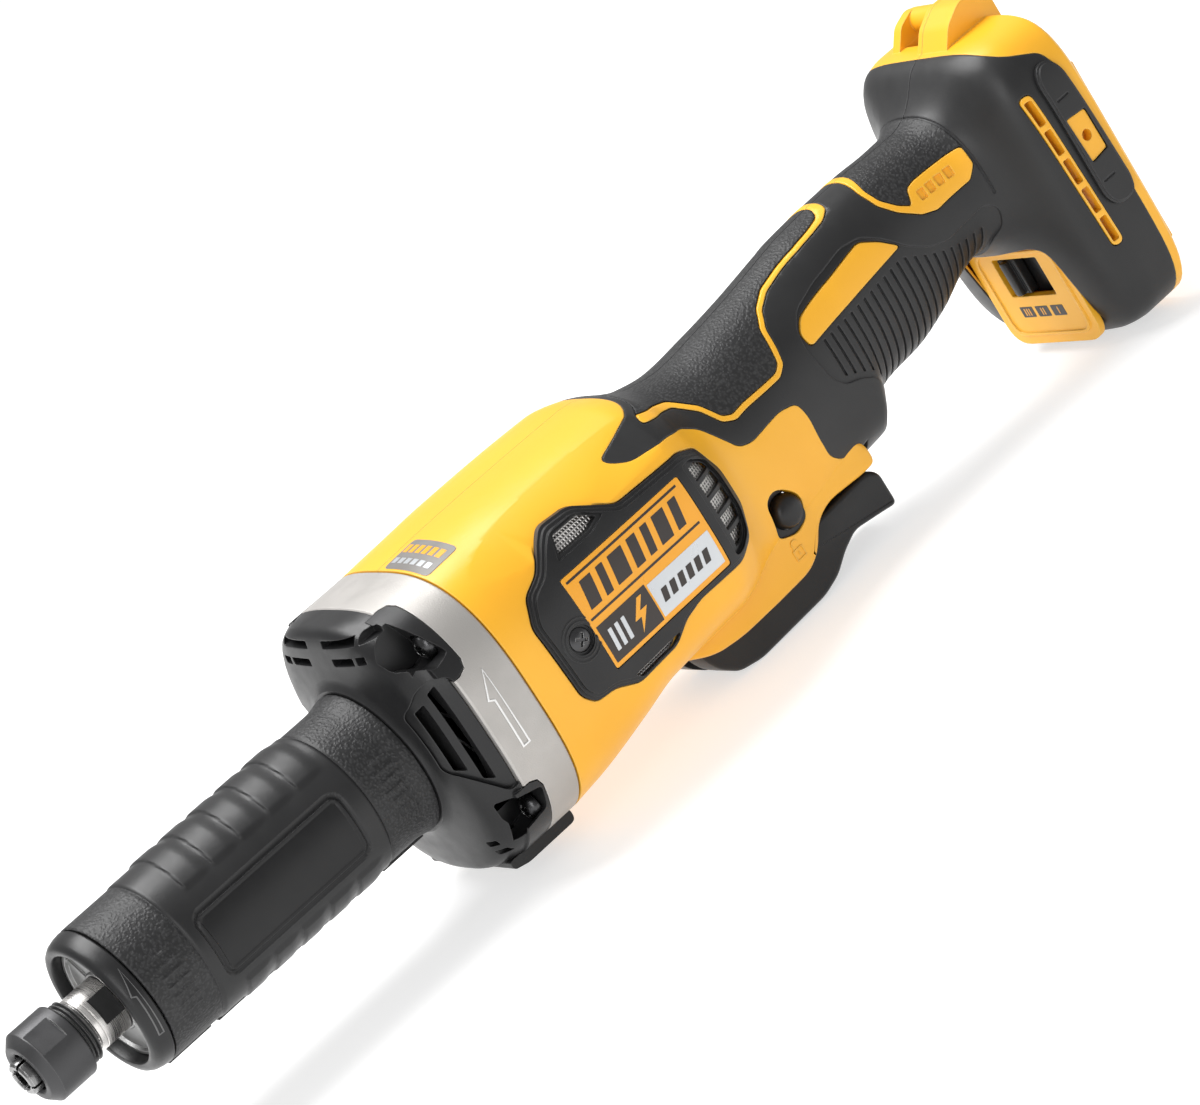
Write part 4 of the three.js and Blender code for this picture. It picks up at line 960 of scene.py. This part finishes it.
BEAD_HALF, BEAD_FOOT, BEAD_TOP = 0.2, 1.6, 1.95
for radius in (4.9, 6.0):
    bead = cut(cross_rod(radius + BEAD_HALF, -FAR, -38, *COVER_SCREW, 64),
               cross_rod(radius - BEAD_HALF, -FAR - 1, -37, *COVER_SCREW, 64))
    bead = machined(bead, ("INTERSECT", tube(MOTOR_BODY, grow=BEAD_TOP)),
                    ("DIFFERENCE", tube(MOTOR_BODY, grow=BEAD_FOOT)))
    bead = cut(bead, prism(LABEL_OUTLINE, -FAR, 0))
    cover = machined(cover, ("UNION", bead))
add_piece("intake_frame_left", cover.copy(), black_nylon, "casing", ["intake_cover_left"])
add_piece("intake_frame_right", mirrored(cover), black_nylon, "casing", ["intake_cover_right"])

woven_steel, nodes, links, surface, place = new_finish("woven_steel", (0.40, 0.39, 0.38), 0.34, 0.9)
WIRE_SCALE = 300
wires = []
for direction in ("X", "Z"):
    wire = nodes.new("ShaderNodeTexWave")
    wire.bands_direction = direction
    wire.inputs["Scale"].default_value = WIRE_SCALE
    links.new(place, wire.inputs["Vector"])
    wires.append(wire.outputs["Fac"])
weave = nodes.new("ShaderNodeMath")
weave.operation = "MAXIMUM"
links.new(wires[0], weave.inputs[0])
links.new(wires[1], weave.inputs[1])
links.new(blend_colours(nodes, links, weave.outputs["Value"], (0.06, 0.06, 0.06), (0.62, 0.60, 0.58)),
          surface.inputs["Base Color"])
edges, rounded = edge_share(nodes, links, 0.0002)
raise_grain(nodes, links, surface, weave.outputs["Value"], 0.0003, 0.8, rounded)
mesh_sheet = joined([patch(FILTER_OUTLINE, -2.6, -1.3, -FAR, 0, 3, MOTOR_BODY),
                     *[patch(pad, -1.6, -0.9, -FAR, 0, 0.8, MOTOR_BODY) for pad in FILTER_PADS]])
add_piece("filter_left", mesh_sheet.copy(), woven_steel, "casing", ["intake_filter_left"])
add_piece("filter_right", mirrored(mesh_sheet), woven_steel, "casing", ["intake_filter_right"])


CROSS_REACH, CROSS_HALF, CROSS_FLOOR = 1.9, 0.42, -41.2


def cover_screw():
    """A sunk button head with a cross recess."""
    head = lathe([(0, -42.1), (1.6, -42.0), (2.8, -41.6), (3.4, -41.2), (3.4, -41.0), (1.9, -41.0),
                  (1.9, -34), (0, -34)], 48)
    bmesh.ops.rotate(head, verts=head.verts, cent=(0, 0, 0), matrix=Matrix.Rotation(math.pi / 2, 3, "Z"))
    bmesh.ops.translate(head, verts=head.verts, vec=(COVER_SCREW[0], 0, COVER_SCREW[1]))
    recess = machined(block(-CROSS_REACH, CROSS_REACH, -44, CROSS_FLOOR, -CROSS_HALF, CROSS_HALF),
                      ("UNION", block(-CROSS_HALF, CROSS_HALF, -44, CROSS_FLOOR, -CROSS_REACH, CROSS_REACH)))
    bmesh.ops.rotate(recess, verts=recess.verts, cent=(0, 0, 0), matrix=Matrix.Rotation(0.6, 3, "Y"))
    bmesh.ops.translate(recess, verts=recess.verts, vec=(COVER_SCREW[0], 0, COVER_SCREW[1]))
    return cut(head, recess)


add_piece("cover_screw_near", cover_screw(), screw_steel, "casing", ["cover_screw_left"])
add_piece("cover_screw_far", mirrored(cover_screw()), screw_steel, "casing",
          ["cover_screw_right"])

# ---- rating labels
# A printed vinyl label in the sunk field of each cover: two dark rules, a row of slanted
# blocks, a dark box with a bolt sign and a silver box with short dashes.
label_amber = common_finish("label_amber", (0.84, 0.36, 0.012), (0.80, 0.34, 0.010), (0.95, 0.6, 0.2), 0.30,
                            cloud=30, grain=5000, depth=0.00001, edge=0.0002)
label_ink = common_finish("label_ink", (0.016, 0.010, 0.008), (0.022, 0.014, 0.010), (0.05, 0.04, 0.03), 0.34,
                          cloud=80, grain=5000, depth=0.00001, edge=0.0001)
label_silver = common_finish("label_silver", (0.50, 0.52, 0.54), (0.56, 0.58, 0.60), (0.7, 0.7, 0.7), 0.30,
                             metallic=0.5, cloud=50, grain=4000, depth=0.00001, edge=0.0001)
PRINT = 0.05


def printed(outlines, height, corner=0.2):
    """Ink of the given outlines on a label's face."""
    return machined(joined([prism(outline, -FAR, 0, corner) for outline in outlines]),
                    ("INTERSECT", tube(MOTOR_BODY, grow=height)),
                    ("DIFFERENCE", tube(MOTOR_BODY, grow=height - PRINT)))


def slanted(x, width, bottom, top, lean=1.5):
    """The outline of a block whose top leans towards the foot."""
    return [(x, bottom), (x + width, bottom), (x + width + lean, top), (x + lean, top)]


LABEL_FACE = 1.6
BLOCK_WIDTHS, BLOCK_GAP = (4.2, 2.6, 5.4, 3.4, 2.6, 4.6, 3.0), 2.0
block_row, block_start = [], 153.2
for width in BLOCK_WIDTHS:
    block_row.append(slanted(block_start, width, 7.6, 15.8))
    block_start += width + BLOCK_GAP
PRINT_LEFT, PRINT_RIGHT = 151.4, 194.6
rules = [[(PRINT_LEFT, z), (PRINT_RIGHT, z), (PRINT_RIGHT, z + 0.7), (PRINT_LEFT, z + 0.7)]
         for z in (17.2, 5.2)]
dark_box = [(PRINT_LEFT, -8.4), (170.2, -8.4), (170.2, 3.2), (PRINT_LEFT, 3.2)]
silver_box = [(170.8, -8.0), (195.2, -8.0), (195.2, 2.4), (170.8, 2.4)]
bolt_sign = [(166.2, 1.8), (162.2, -3.2), (164.6, -3.2), (162.8, -7.2), (167.8, -1.6), (165.2, -1.6),
             (168.0, 1.8)]
dashes = [slanted(173.0 + dash * 3.3, 2.1, -4.9, -1.1, 0.8) for dash in range(6)]
small_bars = [slanted(153.4 + bar * 2.5, 1.3, -6.0, 0.6, 0.5) for bar in range(3)]
label_prints = [("label_sheet", [LABEL_OUTLINE], LABEL_FACE, label_amber),
                ("label_lettering", rules + block_row + [dark_box], LABEL_FACE + PRINT, label_ink),
                ("label_silver_box", [silver_box], LABEL_FACE + PRINT, label_silver),
                ("label_dashes", dashes, LABEL_FACE + 2 * PRINT, label_ink),
                ("label_bars", small_bars, LABEL_FACE + 2 * PRINT, label_silver),
                ("label_bolt", [bolt_sign], LABEL_FACE + 2 * PRINT, label_amber)]
for name, outlines, height, finish in label_prints:
    if name == "label_sheet":
        shape = patch(LABEL_OUTLINE, 1.15, LABEL_FACE, -FAR, 0, 0.8, MOTOR_BODY)
    else:
        shape = printed(outlines, height)
    stands_for = (["cover_label_left"], ["cover_label_right"]) if name == "label_sheet" else ((), ())
    add_piece(name + "_left", shape.copy(), finish, "casing", stands_for[0])
    add_piece(name + "_right", mirrored(shape), finish, "casing", stands_for[1])

badge_grey = common_finish("badge_grey", (0.16, 0.15, 0.14), (0.20, 0.19, 0.18), (0.4, 0.4, 0.4), 0.35,
                           cloud=60, grain=4000, depth=0.00001, edge=0.0002)
BADGE_TOP, MARK_PITCH, MARK_LENGTH, FIRST_MARK = 0.12, 3.0, 2.0, -20.4
top_badge = machined(block(127.6, 139.8, -22.5, -2.5, 25, 60, 1.4),
                     ("INTERSECT", tube(BODY[:3], grow=BADGE_TOP)), ("DIFFERENCE", tube(BODY[:3], grow=0.02)))
add_piece("top_badge", top_badge, badge_grey, "casing")
for name, x, height, finish in (("pale", 130.0, 2.2, label_silver), ("amber", 134.4, 3.2, label_amber)):
    starts = [FIRST_MARK + mark * MARK_PITCH for mark in range(6)]
    marks = machined(joined([block(x, x + height, y, y + MARK_LENGTH, 25, 60) for y in starts]),
                     ("INTERSECT", tube(BODY[:3], grow=BADGE_TOP + PRINT)),
                     ("DIFFERENCE", tube(BODY[:3], grow=BADGE_TOP)))
    add_piece(f"top_badge_{name}", marks, finish, "casing")

# ---- trigger
# A long black nylon lever on a steel pin. Its edges are well rounded and its back end turns up
# behind the guard.
TRIGGER_OUTLINE = [(188.4, -37), (191, -42), (196, -46.4), (204, -48), (231, -47), (238, -45), (244, -41),
                   (250, -38.5), (260, -40), (266, -41), (266, -30), (262, -27), (240, -28), (232, -32),
                   (200, -30.5), (192, -30.5), (188.4, -33)]
LEVER_HALF, PIN_HOLE, PIN_PLACE = 13, 1.8, (194, -34)
spring_gap = block(185, 199.5, -3.4, 3.4, -50, -25)
lever = soften(prism(TRIGGER_OUTLINE, -LEVER_HALF, LEVER_HALF, 2.2), 1.6, 50, 3, clamp=False)
lever = cut(lever, spring_gap, cross_rod(PIN_HOLE, -20, 20, *PIN_PLACE, 32))
add_piece("trigger_lever", lever, black_nylon, "lever", ["trigger"])

# ---- lock button
# A cross bolt of black nylon through the body. Pushed across, it frees the trigger, and an
# open padlock is moulded beside the end that does so.
LOCK_PLACE, LOCK_RADIUS = (230.0, -17), 5.0
bolt = lathe([(0, -23.6), (2.6, -23.4), (4.0, -22.7), (4.8, -21.4), (LOCK_RADIUS, -20), (LOCK_RADIUS, 26),
              (4.8, 27.6), (4.0, 28.4), (0, 28.6)], 64)
bmesh.ops.rotate(bolt, verts=bolt.verts, cent=(0, 0, 0), matrix=Matrix.Rotation(math.pi / 2, 3, "Z"))
bmesh.ops.translate(bolt, verts=bolt.verts, vec=(LOCK_PLACE[0], 0, LOCK_PLACE[1]))
add_piece("lock_bolt", bolt, black_nylon, "cross_button", ["lock_button"])
guide = cut(prism(shifted(LOCK_OUTLINE, -0.1), -19.6, -18.2, 2.6),
            cross_rod(LOCK_RADIUS + 0.25, -FAR, FAR, *LOCK_PLACE))
add_piece("bolt_guides", both(guide), black_nylon, "casing")


def stroke(start, end, half, y0, y1):
    """A straight line of a sign, drawn across the tool."""
    return prism(ribbon([(*start, half), (*end, half)]), y0, y1)


PADLOCK_X, PADLOCK_Z, PADLOCK_RISE = 226.4, -27.6, 0.22
padlock_lines = [((-1.8, -2.6), (1.8, -2.6)), ((1.8, -2.6), (1.8, 0.4)), ((1.8, 0.4), (-1.8, 0.4)),
                 ((-1.8, 0.4), (-1.8, -2.6)), ((-1.2, 0.4), (-1.2, 2.2)), ((-1.2, 2.2), (-0.6, 3.0)),
                 ((-0.6, 3.0), (0.6, 3.0)), ((0.6, 3.0), (1.2, 2.2)), ((0, -0.5), (0, -1.6))]
sign = joined([stroke((PADLOCK_X + x0, PADLOCK_Z + z0), (PADLOCK_X + x1, PADLOCK_Z + z1), 0.17, -24, -20)
               for (x0, z0), (x1, z1) in padlock_lines])
sign_plan = ([(x, y + PADLOCK_RISE) for x, y in GUARD_FLANK]
             + [(x, -y - PADLOCK_RISE) for x, y in GUARD_FLANK[::-1]])
padlock_sign = machined(sign, ("INTERSECT", drawn_plan(sign_plan, -70, 20)))
add_piece("padlock_sign", padlock_sign, yellow_shell, "casing")

# ---- speed panel
# An amber plate let into the foot's front face, with a raised inner frame, a window for the
# slider and three dark fields for the speed steps. The black slider has one finger rib.
plate = drawn_front(PANEL_OUTLINE, PANEL_FACE + 0.1, PANEL_FACE + 2.3, PLATE_CORNER)
inner_frame = cut(drawn_front(shifted(PANEL_OUTLINE, -3.0), PANEL_FACE - 0.35, PANEL_FACE + 1, 5),
                  drawn_front(shifted(PANEL_OUTLINE, -3.9), PANEL_FACE - 2, PANEL_FACE + 0.1, 4.4))
window = drawn_front([(-10.5, -27.5), (10.5, -27.5), (10.5, -14.5), (-10.5, -14.5)], 340, 360, 0.8)
plate = machined(plate, ("UNION", inner_frame), ("DIFFERENCE", window))
add_piece("speed_plate", plate, yellow_shell, "casing", ["speed_panel"])
add_piece("slide_bed", block(352, 353, -12.6, 12.6, -28.6, -13.4, 0.2), black_nylon, "casing")
FIELD_PLACES, FIELD_HALF, FIELD_FACE, STROKE_PITCH = (-7.2, 0, 7.2), 2.9, PANEL_FACE + 0.04, 1.1
fields = [drawn_front([(y - FIELD_HALF, -34.6), (y + FIELD_HALF, -34.6), (y + FIELD_HALF, -31.0),
                       (y - FIELD_HALF, -31.0)], FIELD_FACE, PANEL_FACE + 0.1, 0.4) for y in FIELD_PLACES]
add_piece("speed_fields", joined(fields), label_ink, "casing")
strokes = []
for count, centre in enumerate(FIELD_PLACES, 1):
    for step in range(count):
        y = centre + STROKE_PITCH * (step - (count - 1) / 2)
        strokes.append(block(PANEL_FACE, FIELD_FACE, y - 0.25, y + 0.25, -34.0, -31.6))
add_piece("speed_strokes", joined(strokes), label_amber, "casing")
finger_rib = block(346.4, 349, 3.4, 6.6, -26.8, -15.2, 0.8)
knob = machined(block(348.2, 351.4, 1, 9, -27, -15, 0.6), ("UNION", finger_rib),
                *[("DIFFERENCE", block(347.8, 348.5, y - 0.25, y + 0.25, -28, -14)) for y in (2.0, 8.0)])
add_piece("speed_knob", knob, black_nylon, "speed_knob", ["speed_slider"])

# ---- foot pads
# A hard rubber pad on each side of the foot round the hook's threaded insert, with two short
# marks cut across it.
PAD_OUTLINE = [(360.0, -5), (359.8, 33.8), (362.4, 37.6), (366.5, 38), (369.5, 34), (370.4, 16), (371.2, -5),
               (369.6, -9.2), (363, -9.2)]
PAD_FOOT, PAD_STEP, PAD_TOP, MARK_HALF = 0.05, 1.1, 1.7, 0.3
pad = machined(patch(PAD_OUTLINE, PAD_FOOT, PAD_STEP, -FAR, 0, 3),
               ("UNION", patch(shifted(PAD_OUTLINE, -0.6), PAD_FOOT, PAD_TOP, -FAR, 0, 3)))
pad_marks = [cut(block(361.6, 366.4, -FAR, 0, z - MARK_HALF, z + MARK_HALF), tube(BODY, grow=1.3))
             for z in (26.6, -0.4)]
pad = cut(pad, prism(shifted(INSERT_OUTLINE, 0.25), -FAR, 0, 0.8), *pad_marks)
add_piece("foot_pad_left", pad.copy(), smooth_rubber, "casing", ["foot_bumper_left"])
add_piece("foot_pad_right", mirrored(pad), smooth_rubber, "casing", ["foot_bumper_right"])

# ---- works inside
# The barrel, bearings, motor, fan, switch, electronics and terminals behind the openings. They
# keep their shapes and take the finish of what they are made of.
ground = common_finish("ground_parts", (0.56, 0.55, 0.54), (0.46, 0.455, 0.45), (0.75, 0.75, 0.75), 0.24,
                       metallic=1.0, cloud=120)
cast = common_finish("cast_barrel", (0.42, 0.41, 0.40), (0.34, 0.33, 0.32), (0.6, 0.6, 0.6), 0.5,
                     metallic=0.7)
winding_copper = common_finish("winding_copper", (0.42, 0.13, 0.045), (0.52, 0.18, 0.06),
                               (0.7, 0.35, 0.2), 0.32, metallic=0.9, cloud=500, grain=900, depth=0.0002,
                               strength=0.6)
contact_brass = common_finish("contact_brass", (0.62, 0.42, 0.20), (0.70, 0.50, 0.26), (0.85, 0.7, 0.4), 0.25,
                              metallic=1.0)
potting = common_finish("potting_resin", (0.016, 0.055, 0.030), (0.022, 0.075, 0.040),
                        (0.06, 0.12, 0.08), 0.35)
sheet_steel = common_finish("stacked_sheets", (0.13, 0.13, 0.135), (0.18, 0.18, 0.18), (0.4, 0.4, 0.4), 0.42,
                            metallic=0.8, cloud=400)
WORKS = [(ground, ("front_bearing", "rear_spindle_bearing", "motor_front_bearing", "motor_rear_bearing",
                   "shaft_coupling", "rotor_shaft", "trigger_pin", "trigger_spring")),
         (cast, ("spindle_barrel",)),
         (black_nylon, ("fan_baffle", "cooling_fan", "motor_end_frame", "switch_module", "switch_plunger",
                        "terminal_block")),
         (sheet_steel, ("motor_stator", "rotor_core")),
         (winding_copper, ("winding_front", "winding_rear")),
         (contact_brass, tuple(f"battery_contact_{number}" for number in range(1, 5))),
         (potting, ("control_module",))]
for finish, names in WORKS:
    for name in names:
        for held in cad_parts[name].material_slots:
            held.material = finish
